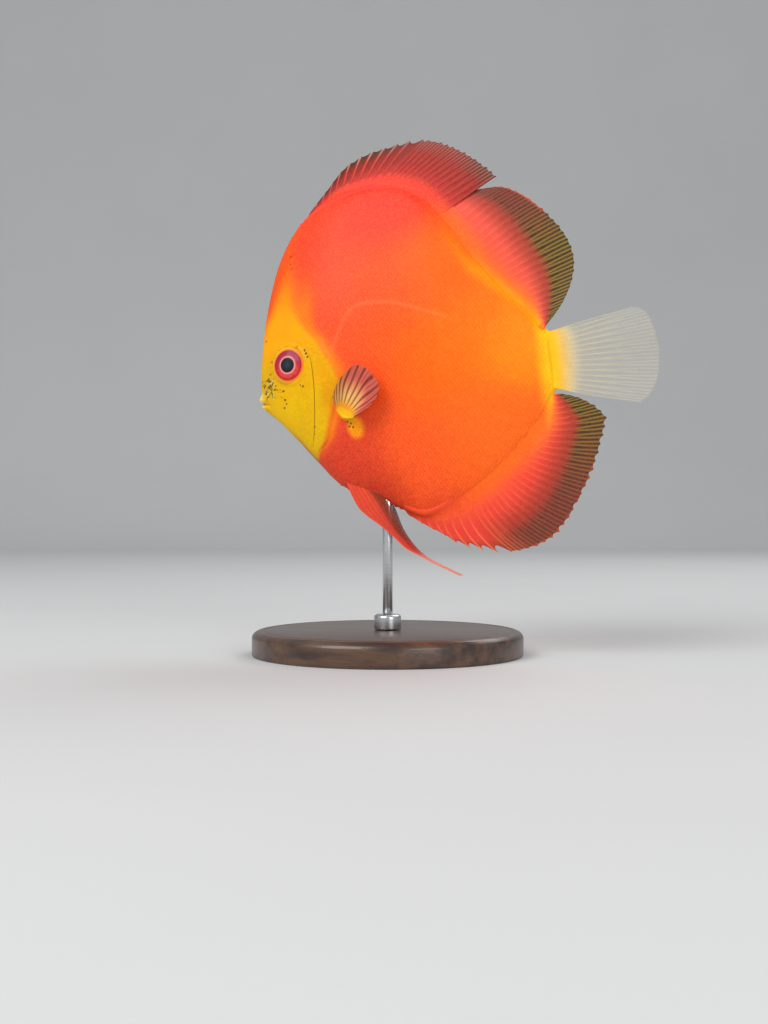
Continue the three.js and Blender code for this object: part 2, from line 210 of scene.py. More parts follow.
@dataclass(frozen=True)
class BodyForm:
    """Shape of the body without its fins: profiles, ridges and the relief of the head."""

    length: float = 124.6
    back: Profile = Profile((
        (0, 1.0), (1.0, 9.6), (3.9, 26.2), (8.4, 42.0), (14.7, 57.0), (22.5, 68.0),
        (28.6, 73.2), (40, 78.8), (55, 81.6), (68, 79.8), (79, 73.4), (88, 62.3), (97, 47.2),
        (108, 31.2), (116.5, 19.6), (121.5, 12.3), (124.6, 9.8)))
    belly: Profile = Profile((
        (0, -1.0), (0.7, -3.4), (6.4, -9.0), (14.2, -18.4), (22.2, -28.9), (31, -39.2),
        (43.5, -45.4), (52, -49.8), (59, -53.8), (67, -56.6), (78, -53.4), (92, -45.8),
        (105, -36.4), (116, -25.6), (121.5, -17.6), (124.6, -13.6)))
    mid: Profile = Profile(((0, 0), (10, 3), (20, 6), (40, 8), (70, 7), (100, 2), (124.6, -2)))
    width: Profile = Profile((
        (0, 1.2), (1, 3.4), (3, 4.6), (7, 6.0), (12, 7.6), (18, 9.2), (26, 11.0), (36, 12.2),
        (48, 12.2), (62, 11.0), (80, 8.8), (98, 6.4), (112, 4.6), (120, 3.7), (123.4, 2.9),
        (124.6, 1.0)))
    back_ridge: float = 2.3
    belly_ridge: float = 3.2
    tail_ridge: float = 1.6
    inset: float = 0.3
    taper_from: float = 60.0
    ridge_most: float = 0.6
    ridge_power: int = 12
    relief_ends: Pair = (1.0, 0.93)

    def edges(self, x: Array) -> tuple[Array, Array, Array]:
        """Give the heights of the belly line, mid line and back line, drawn in by the inset."""
        return self.belly(x) + self.inset, self.mid(x), self.back(x) - self.inset

    def share_at(self, x: Array, z: Array) -> Array:
        """Give a height as a share of the way from the mid line, up or down, to the edge."""
        low, mid, high = self.edges(x)
        up = (z - mid) / (high - mid)
        down = (z - mid) / (mid - low)
        return np.clip(np.where(z > mid, up, down), -1.0, 1.0)

    def z_at(self, x: Array, share: Array) -> Array:
        """Give the height of a share."""
        low, mid, high = self.edges(x)
        return np.where(share > 0, mid + share * (high - mid), mid + share * (mid - low))

    def half(self, x: Array, share: Array) -> Array:
        """Give the half width: a lens 1 - share^2 that thins to the edge, and along the edge a
        narrow ridge rounded as the root of 1 - share^12.

        Args:
            x, share: distances from the mouth, and shares of the way to the edge.

        Returns:
            The half widths in millimetres.
        """
        full = self.width(x) - self.inset
        taper = smooth(self.taper_from, self.length, x)
        front = np.where(share > 0, self.back_ridge, self.belly_ridge)
        ridge = np.minimum(front + (self.tail_ridge - front) * taper, full * self.ridge_most)
        rounded = np.sqrt(np.maximum(1.0 - np.abs(share) ** self.ridge_power, 0.0))
        return (full - ridge) * (1.0 - share ** 2) + ridge * rounded

    def skin_y(self, x: Array, z: Array) -> Array:
        """Give the skin's distance from the middle plane, with the relief on it."""
        share = self.share_at(x, z)
        return self.half(x, share) + self.relief(x, z) * smooth(*self.relief_ends, np.abs(share))

    def relief(self, x: Array, z: Array) -> Array:
        """Give what stands out of the plain form: lips, gill cover, cheek, eye rim, nostril."""
        return (HEAD.mouth(x, z) + HEAD.orbit(x, z) + HEAD.gill_cover(x, z)
                + HEAD.nostril(x, z) + HEAD.pad(x, z))


@dataclass(frozen=True)
class HeadForm:
    """Places and depths of the head's features, in the fish's frame."""

    eye: Pair = (17.3, 12.3)
    eye_radius: float = 7.2
    socket_depth: float = 3.2
    eye_rim: Swell = Swell(0.30, 0.55, 0.7)
    eye_furrow: Swell = Swell(-0.16, 2.2, 0.9)
    gape_start: float = -0.75
    gape_slope: float = 0.30
    gape_length: float = 3.4
    gape_groove: Swell = Swell(-0.55, 0.0, 0.24)
    gape_corner: Swell = Swell(-0.35, 0.0, 0.9)
    upper_lip: Swell = Swell(0.85, 1.9, 1.35)
    lower_lip: Swell = Swell(0.55, -1.35, 0.95)
    upper_fold: Swell = Swell(-0.34, 4.3, 0.6)
    lower_fold: Swell = Swell(-0.16, -3.1, 0.5)
    nostril_at: Pair = (8.2, 15.2)
    nostril_pit: Swell = Swell(-0.5, 0.0, 0.65)
    nostril_rim: Swell = Swell(0.16, 1.2, 0.5)
    cover_rise: float = 0.42
    cover_slope: float = 7.0
    cover_drop: Swell = Swell(-0.22, -0.9, 0.7)
    cheek_crease: Swell = Swell(-0.20, 0.0, 0.55)
    cheek_swell: Swell = Swell(0.10, 1.4, 0.8)
    cheek_line: Triple = (28.1, 7.0, 0.0065)
    cover_edge: Points = (
        (-30.0, 20.5), (-24.6, 24.4), (-20.5, 30.2), (-12.8, 33.6), (-5.1, 37.2), (0.0, 40.4),
        (3.6, 40.8), (8.9, 38.4), (20.0, 32.8), (25.5, 27.5), (30.0, 22.0))
    fin_pad: Pair = (40.7, -11.6)
    pad_half: Pair = (3.9, 2.1)
    pad_slant: float = math.radians(-38.0)
    pad_rise: float = 1.3

    def gape(self, x: Array) -> Array:
        """Give the height of the line where the lips meet."""
        return self.gape_start - self.gape_slope * x

    def mouth(self, x: Array, z: Array) -> Array:
        """Sink the gape and swell a lip above and below it.

        Args:
            x, z: distances from the mouth, and heights.

        Returns:
            How far the skin stands out there, in millimetres.
        """
        above = z - self.gape(x)
        reach = smooth(self.gape_length + 2.4, self.gape_length - 1.4, x)
        groove = self.gape_groove(above) * smooth(4.6, 2.4, x)
        folds = self.upper_fold(above) + self.lower_fold(above)
        corner = self.gape_corner(np.hypot(x - self.gape_length - 0.6, above))
        return reach * (groove + self.upper_lip(above) + self.lower_lip(above) + folds) + corner

    def orbit(self, x: Array, z: Array) -> Array:
        """Sink the socket under the eyeball and raise a soft rim round it.

        Args:
            x, z: distances from the mouth, and heights.

        Returns:
            How far the skin stands out there, in millimetres.
        """
        radius = np.hypot(x - self.eye[0], z - self.eye[1])
        sunk = smooth(self.eye_radius - 0.1, self.eye_radius - 0.9, radius)
        outside = radius - self.eye_radius
        return -self.socket_depth * sunk + self.eye_rim(outside) + self.eye_furrow(outside)

    def cover_x(self, z: Array) -> Array:
        """Give where the gill cover's rear edge stands at a height."""
        return read_line(self.cover_edge, z)

    def gill_cover(self, x: Array, z: Array) -> Array:
        """Raise the cover to its free rear edge, drop behind it, and sink the cheek line.

        Args:
            x, z: distances from the mouth, and heights.

        Returns:
            How far the skin stands out there, in millimetres.
        """
        tall = smooth(24.0, 8.0, z) * smooth(-29.0, -20.0, z)
        ahead = self.cover_x(z) - x
        sloped = bell(np.maximum(ahead, 0.0), self.cover_slope)
        plate = self.cover_rise * smooth(-0.7, 0.4, ahead) * sloped
        line = self.line_gap(x, z)
        crease = self.cheek_crease(line) + self.cheek_swell(line)
        return tall * (plate + self.cover_drop(ahead)) + crease

    def line_gap(self, x: Array, z: Array) -> Array:
        """Give the gap to the cheek line, x = reach - bend (z - middle)^2, faded at its ends."""
        reach, middle, bend = self.cheek_line
        ends = 9.0 * (smooth(14.0, 18.0, z) + smooth(-20.0, -24.0, z))
        return np.abs(x - reach + bend * (z - middle) ** 2) + ends

    def nostril(self, x: Array, z: Array) -> Array:
        """Sink one small nostril and raise its rim."""
        radius = np.hypot(x - self.nostril_at[0], z - self.nostril_at[1])
        return self.nostril_pit(radius) + self.nostril_rim(radius)

    def pad_distance(self, x: Array, z: Array) -> Array:
        """Give the distance from the middle of the pectoral fin's foot, 1 at its rim."""
        cos, sin = math.cos(self.pad_slant), math.sin(self.pad_slant)
        across, up = x - self.fin_pad[0], z - self.fin_pad[1]
        along = (across * cos + up * sin) / self.pad_half[0]
        return np.hypot(along, (up * cos - across * sin) / self.pad_half[1])

    def pad(self, x: Array, z: Array) -> Array:
        """Raise the fleshy foot of the pectoral fin."""
        return self.pad_rise * smooth(1.7, 0.1, self.pad_distance(x, z))


HEAD = HeadForm()
BODY = BodyForm()


@dataclass(frozen=True)
class Patch:
    """A soft-edged patch of colour on the flank."""

    x: float
    z: float
    spread: float
    colour: Colour


@dataclass(frozen=True)
class Markings:
    """Colours of the skin, scales and fin feet, as functions of the place on the fish."""

    patches: tuple[Patch, ...] = (
        Patch(34, 66, 14, (254, 70, 44)),
        Patch(62, 70, 16, (250, 54, 40)),
        Patch(36, 38, 15, (255, 80, 46)),
        Patch(60, 34, 18, (255, 86, 30)),
        Patch(48, 2, 15, (255, 84, 40)),
        Patch(72, 6, 16, (255, 106, 12)),
        Patch(92, 12, 15, (255, 122, 16)),
        Patch(110, 6, 11, (255, 150, 14)),
        Patch(84, 42, 14, (255, 108, 22)),
        Patch(94, -24, 17, (255, 112, 30)),
        Patch(70, -32, 16, (253, 92, 36)),
        # The next two, on the front of the belly, are the skin's own red darkened by painted
        # shade.
        Patch(38, -28, 12, (220, 62, 44)),
        Patch(50, -44, 9, (206, 54, 38)),
        Patch(72, -54, 8, (242, 80, 44)),
    )
    mask_edge: Points = (
        (-36.0, 19.4), (-29.0, 22.0), (-25.0, 24.8), (-20.0, 29.2), (-13.0, 32.6), (-5.0, 35.6),
        (2.2, 39.6), (9.0, 37.2), (20.0, 31.4), (25.5, 26.6), (31.0, 23.6), (38.0, 21.8),
        (48.0, 21.4), (60.0, 23.0), (70.0, 25.5))
    band_line: Points = (
        (80.0, 60.0), (88.2, 51.9), (95.2, 41.7), (100.8, 36.3), (108.1, 29.0), (115.2, 21.0),
        (120.3, 13.4), (124.0, 9.0))
    lateral: Spline = Spline((
        (38.0, 15.0), (42.6, 23.6), (45.4, 28.0), (50.1, 31.2), (58.7, 31.4), (69.0, 28.7),
        (86.0, 21.0)))
    face_low: Colour = (228, 182, 0)
    face_mid: Colour = (228, 170, 0)
    face_high: Colour = (252, 162, 2)
    brow: Colour = (236, 78, 22)
    brow_band: Colour = (252, 138, 8)
    cheek: Colour = (232, 166, 0)
    throat: Colour = (176, 112, 8)
    snout: Colour = (186, 164, 36)
    lip: Colour = (240, 224, 128)
    pale_rim: Colour = (232, 196, 150)
    band: Colour = (255, 146, 2)
    tail_yellow: Colour = (255, 198, 16)
    axil: Colour = (252, 160, 4)
    collar: Colour = (250, 132, 14)
    pad: Colour = (240, 182, 0)
    tail_spot: Colour = (236, 70, 20)
    gape_line: Colour = (58, 44, 16)
    flank_tone: Triple = (1.0, 0.86, 0.92)
    tail_spot_at: Pair = (122.6, 11.6)
    axil_at: Pair = (43.6, -17.2)
    axil_half: Pair = (3.4, 4.3)
    pore_middle: Pair = (62.0, 23.0)
    pore_reach: Pair = (26.0, 12.0)
    pore_half: float = 0.7

    def flank(self, x: Array, z: Array) -> Array:
        """Blend the patches, each weighed by exp(-(distance / spread)^2), a little reddened."""
        total = np.zeros(np.shape(x) + (3,))
        weight = np.zeros(np.shape(x)) + 1e-9
        for patch in self.patches:
            share = bell(np.hypot(x - patch.x, z - patch.z), patch.spread) + 1e-7
            total += share[..., None] * linear(patch.colour)
            weight += share
        return total / weight[..., None] * self.flank_tone

    def face(self, x: Array, z: Array) -> Array:
        """Shade the yellow face: lemon below, deeper by the eye, orange up the forehead.

        Args:
            x, z: distances from the mouth, and heights.

        Returns:
            Linear red, green and blue for each place.
        """
        shade = blend(self.face_low, self.face_mid, smooth(-6.0, 8.0, z))
        shade = blend(shade, self.face_high, smooth(12.0, 28.0, z))
        shade = blend(shade, self.brow_band, smooth(28.0, 46.0, z))
        front = smooth(0.60, 0.86, BODY.share_at(x, z)) * smooth(22.0, 40.0, z)
        shade = blend(shade, self.brow, front)
        rear = smooth(28.0, 34.0, x) * smooth(-18.0, -4.0, z)
        shade = blend(shade, self.cheek, rear * smooth(30.0, 20.0, z))
        low = BODY.belly(x)
        shade = blend(shade, self.throat, smooth(5.0, 0.6, z - low) * smooth(9.0, 20.0, x))
        nose = bell(np.hypot((x - 5.0) / 0.8, (z - 5.0) / 1.3), 5.5)
        shade = blend(shade, self.snout, 0.55 * nose)
        lips = smooth(3.0, 0.6, x) * smooth(5.6, 3.4, np.abs(z + 0.4))
        return blend(shade, self.lip, lips * 0.85)

    def pigment(self, x: Array, z: Array, lines: bool = True) -> Array:
        """Give the colour of skin and scales at a place.

        Args:
            x: distances from the mouth.
            z: heights.
            lines: whether the dark line between the lips is drawn too.

        Returns:
            Linear red, green and blue for each place.
        """
        colour = self.flank(x, z)
        ahead = read_line(self.mask_edge, z) - x
        soft = 1.5 + 3.4 * smooth(22.0, 42.0, z)
        hem = bell(ahead + soft * 1.1, 1.7 + soft * 0.7) * smooth(-30.0, -16.0, z)
        colour = blend(colour, self.collar, hem * 0.8 * smooth(52.0, 30.0, z))
        mask = smooth(-soft, soft, ahead)
        colour = blend(colour, self.face(x, z), mask)
        off = z - read_line(self.band_line, x)
        spread = 4.4 - 1.6 * smooth(96.0, 116.0, x)
        colour = blend(colour, self.band, 0.9 * bell(off, spread) * smooth(84.0, 104.0, x))
        colour = blend(colour, self.tail_yellow, smooth(117.5, 123.2, x) * 0.92)
        spot = np.hypot(x - self.tail_spot_at[0], (z - self.tail_spot_at[1]) * 1.2)
        colour = blend(colour, self.tail_spot, 0.7 * smooth(2.4, 1.2, spot))
        rim = smooth(1.6, 0.2, x - 0.25) * smooth(5.0, 9.0, z)
        colour = blend(colour, self.pale_rim, 0.75 * rim)
        armpit = np.hypot((x - self.axil_at[0]) / self.axil_half[0],
                          (z - self.axil_at[1]) / self.axil_half[1])
        colour = blend(colour, self.axil, 0.92 * smooth(1.35, 0.6, armpit))
        pad = smooth(1.35, 0.85, HEAD.pad_distance(x, z))
        colour = blend(colour, self.pad, pad)
        if not lines:
            return colour
        gape = bell(z - HEAD.gape(x), 0.28) * smooth(2.9, 1.4, x)
        return blend(colour, self.gape_line, 0.9 * gape)

    def pores(self, x: Array, z: Array) -> Array:
        """Give how near a place is to the lateral line."""
        line = self.lateral(np.linspace(0.0, 1.0, 120))
        flat_x, flat_z = np.ravel(x), np.ravel(z)
        near = np.full(flat_x.shape, 99.0)
        close = ((np.abs(flat_x - self.pore_middle[0]) < self.pore_reach[0])
                 & (np.abs(flat_z - self.pore_middle[1]) < self.pore_reach[1]))
        if close.any():
            gaps = np.hypot(flat_x[close, None] - line[:, 0], flat_z[close, None] - line[:, 1])
            near[close] = gaps.min(axis=1)
        return bell(near.reshape(np.shape(x)), self.pore_half)

    def pepper(self, x: Array, z: Array) -> Array:
        """Give how thickly dark specks are strewn: most by the snout, a few round the eye."""
        snout = 1.1 * bell(np.hypot((x - 6.2) / 0.8, (z - 5.2) / 1.35), 4.6)
        eye = np.hypot(x - HEAD.eye[0], z - HEAD.eye[1])
        ring = 0.75 * bell(eye - HEAD.eye_radius - 1.2, 0.5) * smooth(10.0, 15.0, z)
        lore = 0.50 * bell(np.hypot((x - 9.6) / 1.3, z - 0.6), 3.2)
        return np.maximum(np.maximum(snout, ring), lore)


MARKINGS = Markings()


class Wire:
    """A number travelling through a material, on which Python's operators add Math nodes."""

    def __init__(self, shader: Shader, socket: bpy.types.NodeSocket) -> None:
        """Hold the shader and the output socket."""
        self.shader = shader
        self.socket = socket

    def maths(self, operation: str, *others: Wire | float) -> Wire:
        """Add a Math node with this wire as its first value.

        Args:
            operation: the node's operation.
            others: its other values.

        Returns:
            The result.
        """
        values = dict(enumerate((self, *others)))
        settings = {"operation": operation}
        return Wire(self.shader, self.shader.node("ShaderNodeMath", settings, values).outputs[0])

    def __add__(self, other: Wire | float) -> Wire:
        """Add."""
        return self.maths("ADD", other)

    __radd__ = __add__

    def __sub__(self, other: Wire | float) -> Wire:
        """Subtract."""
        return self.maths("SUBTRACT", other)

    def __rsub__(self, other: float) -> Wire:
        """Subtract from a number."""
        return (self * -1.0) + other

    def __mul__(self, other: Wire | float) -> Wire:
        """Multiply."""
        return self.maths("MULTIPLY", other)

    __rmul__ = __mul__

    def step(self, low: float, high: float) -> Wire:
        """Ramp from 0 at low to 1 at high, smoothly and held at both ends."""
        settings = {"interpolation_type": "SMOOTHSTEP"}
        values = {"Value": self, "From Min": low, "From Max": high}
        ramp = self.shader.node("ShaderNodeMapRange", settings, values)
        return Wire(self.shader, ramp.outputs[0])


class Shader:
    """A material under construction, with one method that makes any node."""

    def __init__(self, name: str) -> None:
        """Start a material with no nodes yet."""
        self.material = bpy.data.materials.new(name)
        self.material.use_nodes = True
        self.tree = self.material.node_tree
        self.tree.nodes.clear()

    def node(self, kind: str, settings: dict, values: dict) -> bpy.types.Node:
        """Add a node.

        Args:
            kind: the node's type.
            settings: its properties, set first.
            values: its input sockets by name or number, as wires, sockets or plain values.

        Returns:
            The node.
        """
        made = self.tree.nodes.new(kind)
        for key, value in settings.items():
            setattr(made, key, value)
        for key, value in values.items():
            self.feed(made.inputs[key], value)
        return made

    def feed(self, socket: bpy.types.NodeSocket, value: object) -> None:
        """Link a wire or a socket to an input, or set a plain value on it."""
        source = value.socket if isinstance(value, Wire) else value
        if isinstance(source, bpy.types.NodeSocket):
            self.tree.links.new(source, socket)
        elif isinstance(source, (tuple, list, np.ndarray)):
            wide = len(socket.default_value)
            socket.default_value = (*[float(v) for v in source], 1.0)[:wide]
        else:
            socket.default_value = source

    def place(self) -> bpy.types.NodeSocket:
        """Give the place on the piece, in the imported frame's metres."""
        return self.node("ShaderNodeTexCoord", {}, {}).outputs["Object"]

    def number(self, name: str) -> Wire:
        """Read a number that the mesh carries at each point."""
        carried = self.node("ShaderNodeAttribute", {"attribute_name": name}, {})
        return Wire(self, carried.outputs["Fac"])

    def colour(self, name: str) -> bpy.types.NodeSocket:
        """Read a colour that the mesh carries at each point."""
        return self.node("ShaderNodeAttribute", {"attribute_name": name}, {}).outputs["Color"]

    def noise(self, size: float, detail: float = 2.0, rough: float = 0.5) -> Wire:
        """Give a noise whose lumps are about as wide as a size in millimetres."""
        return self.lumps(self.place(), 1000.0 / size, detail, rough)

    def drawn_noise(self, stretch: Triple, scale: float, detail: float, rough: float) -> Wire:
        """Give a noise on places multiplied along X, Y and Z, drawn out where that is least.

        Args:
            stretch: what X, Y and Z are multiplied by.
            scale, detail, rough: the noise node's own values.

        Returns:
            The noise.
        """
        values = {"Vector": self.place(), "Scale": stretch}
        drawn = self.node("ShaderNodeMapping", {}, values).outputs[0]
        return self.lumps(drawn, scale, detail, rough)

    def lumps(self, place: bpy.types.NodeSocket, scale: float, detail: float,
              rough: float) -> Wire:
        """Add a noise node on a place and give its value."""
        values = {"Vector": place, "Scale": scale, "Detail": detail, "Roughness": rough}
        return Wire(self, self.node("ShaderNodeTexNoise", {}, values).outputs[0])

    def mix(self, factor: Wire | float, first: object, second: object,
            style: str = "MIX") -> bpy.types.NodeSocket:
        """Mix two colours by a factor."""
        settings = {"data_type": "RGBA", "blend_type": style, "clamp_factor": True}
        values = {0: factor, 6: first, 7: second}
        return self.node("ShaderNodeMix", settings, values).outputs[2]

    def bump(self, height: Wire, depth: float, strength: float = 1.0) -> bpy.types.NodeSocket:
        """Turn a height between 0 and 1 into a normal, for a depth in millimetres."""
        values = {"Height": height, "Distance": depth / 1000.0, "Strength": strength}
        return self.node("ShaderNodeBump", {}, values).outputs[0]

    def finish(self, values: dict) -> bpy.types.Material:
        """Close the material with a Principled shader of these values."""
        shader = self.node("ShaderNodeBsdfPrincipled", {}, values)
        output = self.node("ShaderNodeOutputMaterial", {}, {})
        self.tree.links.new(shader.outputs[0], output.inputs["Surface"])
        return self.material


@dataclass(frozen=True)
class SkinFinish:
    """Moist fish skin, naked on the face and under the scales everywhere else."""

    name: str = "discus_skin"
    roughness: float = 0.40
    coat: float = 0.08
    fleck_size: float = 1.5
    mottle: Triple = (0.80, 0.07, 0.012)
    grain: Triple = (1.0, 0.50, 0.06)
    scale_edge: Triple = (0.80, 0.55, 0.45)
    pore: Triple = (1.0, 0.42, 0.16)
    pale_fleck: Triple = (0.72, 0.58, 0.24)
    dark_fleck: Triple = (0.075, 0.052, 0.008)
    cheek_tint: Triple = (0.17, 0.055, 0.004)
    fold_tint: Triple = (0.16, 0.10, 0.012)
    spot_tint: Triple = (0.09, 0.045, 0.006)
    # The last four darken the skin in small marks just under the pectoral fin's foot.
    spots: tuple[Triple, ...] = (
        (13.0, 2.4, 0.62), (13.2, -1.3, 0.55), (13.5, -3.0, 0.5), (12.1, -4.5, 0.5),
        (11.5, 3.2, 0.4), (21.6, 3.4, 0.42), (22.9, 2.7, 0.62), (25.5, 17.0, 0.62),
        (26.1, 15.6, 0.66), (26.6, 14.3, 0.55), (21.8, 57.6, 0.46), (21.4, 54.4, 0.44),
        (22.0, 52.2, 0.42), (6.2, 24.6, 0.5), (8.2, 15.2, 0.34), (24.6, -17.0, 0.4),
        (25.6, -14.4, 0.36), (40.6, -14.6, 0.5), (41.9, -15.4, 0.45), (41.0, -16.6, 0.5),
        (42.6, -17.0, 0.4))

    def build(self) -> bpy.types.Material:
        """Build the material.

        The pigment gets mottling, grain, darker scale edges, the lateral line, pale and dark
        flecks where the mesh's pepper is high, the cheek's line, the fold over the eye and the
        single spots, in that order. Grain makes the gloss and the bump uneven.
        """
        shader = Shader(self.name)
        mottle = shader.noise(6.0, 3.0).step(0.3, 0.75)
        grain = shader.noise(0.9, 2.0).step(0.35, 0.7)
        tint = shader.mix(mottle * 0.12, shader.colour("pigment"), self.mottle)
        tint = shader.mix(grain * 0.08, tint, self.grain)
        tint = shader.mix(shader.number("edge") * 0.55, tint, self.scale_edge, "MULTIPLY")
        tint = shader.mix(shader.number("pore") * 0.13, tint, self.pore)
        thick = shader.number("pepper")
        flecks = shader.noise(self.fleck_size, 3.0, 0.62)
        dark = (flecks + thick * 0.20).step(0.66, 0.72) * thick.step(0.12, 0.30)
        pale = (shader.noise(1.9, 1.0) + thick * 0.12).step(0.66, 0.74) * thick.step(0.45, 0.8)
        tint = shader.mix(pale * 0.55, tint, self.pale_fleck)
        tint = shader.mix(dark * 0.85, tint, self.dark_fleck)
        x, z = self.fish_place(shader)
        tint = shader.mix(self.cheek_line(x, z) * 0.72, tint, self.cheek_tint)
        tint = shader.mix(self.eye_fold(shader, x, z) * 0.55, tint, self.fold_tint)
        tint = shader.mix(self.single(shader, x, z) * 0.85, tint, self.spot_tint)
        rough = grain * 0.10 + self.roughness - 0.05
        height = grain * 0.5 + shader.noise(0.45, 1.0) * 0.5
        return shader.finish({
            "Base Color": tint, "Roughness": rough, "Coat Weight": self.coat,
            "Coat Roughness": 0.22, "Specular IOR Level": 0.07,
            "Normal": shader.bump(height, 0.04, 0.5)})

    def fish_place(self, shader: Shader) -> tuple[Wire, Wire]:
        """Give the place in the fish's own millimetres: distance from the mouth, and height."""
        cos, sin = math.cos(FISH.nose_down), math.sin(FISH.nose_down)
        parts = shader.node("ShaderNodeSeparateXYZ", {}, {0: shader.place()}).outputs
        along = Wire(shader, parts[0]) * 1000.0 - FISH.mouth_x
        up = Wire(shader, parts[2]) * 1000.0 - FISH.mouth_z
        return along * cos + up * sin, up * cos - along * sin

    def cheek_line(self, x: Wire, z: Wire) -> Wire:
        """Give a mask of the thin dark line down the rear of the cheek."""
        reach, middle, bend = HEAD.cheek_line
        rise = z - middle
        gap = (x - reach + rise * rise * bend).maths("ABSOLUTE")
        return gap.step(0.34, 0.08) * z.step(-23.5, -18.0) * z.step(17.0, 9.0)

    def eye_fold(self, shader: Shader, x: Wire, z: Wire) -> Wire:
        """Give a mask of the broken dusky fold that arches over the eye."""
        across, up = x - HEAD.eye[0], z - HEAD.eye[1]
        radius = (across * across + up * up).maths("SQRT")
        gap = (radius - (HEAD.eye_radius + 0.75)).maths("ABSOLUTE")
        return gap.step(0.42, 0.10) * up.step(-1.0, 4.0) * shader.noise(2.6, 2.0).step(0.40, 0.56)

    def single(self, shader: Shader, x: Wire, z: Wire) -> Wire:
        """Give a mask of the separate dark spots, each a small ragged disc on both sides."""
        ragged = (shader.noise(0.9, 1.0) - 0.5) * 0.9
        total: Wire | float = 0.0
        for spot_x, spot_z, radius in self.spots:
            squared = (x - spot_x) * (x - spot_x) + (z - spot_z) * (z - spot_z)
            away = squared.maths("SQRT") + ragged
            total = away.step(radius * 1.15, radius * 0.6) + total
        return total.maths("MINIMUM", 1.0)


@dataclass(frozen=True)
class FinFinish:
    """Thin fin: membrane between raised rays, with its pattern carried by the mesh."""

    name: str
    roughness: float = 0.42
    cloud: Triple = (0.45, 0.02, 0.008)
    grain: Triple = (1.0, 0.4, 0.15)

    def build(self) -> bpy.types.Material:
        """Build the material: clouded pigment, as clear as the mesh's cover leaves it."""
        shader = Shader(self.name)
        grain = shader.noise(0.8, 2.0).step(0.3, 0.75)
        cloud = shader.noise(4.0, 2.0).step(0.3, 0.75)
        tint = shader.mix(cloud * 0.12, shader.colour("pigment"), self.cloud)
        tint = shader.mix(grain * 0.05, tint, self.grain)
        return shader.finish({
            "Base Color": tint, "Roughness": grain * 0.12 + self.roughness - 0.06,
            "Alpha": shader.number("cover"), "Specular IOR Level": 0.14,
            "Normal": shader.bump(grain, 0.04, 0.5)})


@dataclass(frozen=True)
class EyeFinish:
    """Wet eyeball: dark pupil, pale ring, mottled pink-red iris and orange outer ring."""

    name: str = "discus_eye"
    mottle: Triple = (0.20, 0.01, 0.03)

    def build(self) -> bpy.types.Material:
        """Build the material, wet all over, with fine mottling in the iris."""
        shader = Shader(self.name)
        cloud = shader.noise(1.1, 3.0, 0.6).step(0.3, 0.72)
        mottled = shader.number("iris") * cloud * 0.45
        tint = shader.mix(mottled, shader.colour("pigment"), self.mottle)
        return shader.finish({
            "Base Color": tint, "Roughness": 0.38, "Coat Weight": 0.20, "Coat Roughness": 0.14,
            "Specular IOR Level": 0.1, "Normal": shader.bump(cloud, 0.03, 0.4)})


@dataclass(frozen=True)
class WoodFinish:
    """Dark stained wood with long grain along X and a satin varnish."""

    name: str = "stand_stained_wood"
    stretch: Triple = (14.0, 150.0, 150.0)
    dark: Triple = (0.028, 0.013, 0.007)
    light: Triple = (0.115, 0.052, 0.024)
    pore: Triple = (0.012, 0.006, 0.004)

    def build(self) -> bpy.types.Material:
        """Build the material: stretched noise for grain, darker pores, and a thin coat."""
        shader = Shader(self.name)
        grain = shader.drawn_noise(self.stretch, 1.4, 5.0, 0.6).step(0.32, 0.70)
        pore = shader.drawn_noise(self.stretch, 9.0, 2.0, 0.5).step(0.60, 0.72)
        tint = shader.mix(grain, self.dark, self.light)
        tint = shader.mix(pore * 0.6, tint, self.pore)
        return shader.finish({
            "Base Color": tint, "Roughness": grain * 0.08 + 0.34, "Coat Weight": 0.35,
            "Coat Roughness": 0.2, "Normal": shader.bump(1.0 - pore, 0.08, 0.5)})


@dataclass(frozen=True)
class SteelFinish:
    """Brushed steel, with fine rings round the rod."""

    name: str = "stand_brushed_steel"
    stretch: Triple = (60.0, 60.0, 5200.0)
    dark: Triple = (0.46, 0.47, 0.48)
    light: Triple = (0.62, 0.63, 0.64)

    def build(self) -> bpy.types.Material:
        """Build the material: noise squeezed along Z makes the brushing."""
        shader = Shader(self.name)
        brushed = shader.drawn_noise(self.stretch, 1.0, 2.0, 0.6)
        tint = shader.mix(brushed.step(0.3, 0.7), self.dark, self.light)
        return shader.finish({
            "Base Color": tint, "Metallic": 1.0, "Roughness": brushed * 0.16 + 0.22,
            "Normal": shader.bump(brushed, 0.012, 0.5)})


@dataclass(frozen=True)
class StageFinish:
    """Pale matt studio paper."""

    name: str = "studio_paper"
    dark: Triple = (0.60, 0.60, 0.59)
    light: Triple = (0.63, 0.63, 0.62)

    def build(self) -> bpy.types.Material:
        """Build the material: two near greys, clouded by a wide noise."""
        shader = Shader(self.name)
        tint = shader.mix(shader.noise(160.0, 2.0), self.dark, self.light)
        return shader.finish({"Base Color": tint, "Roughness": 0.85, "Specular IOR Level": 0.2})


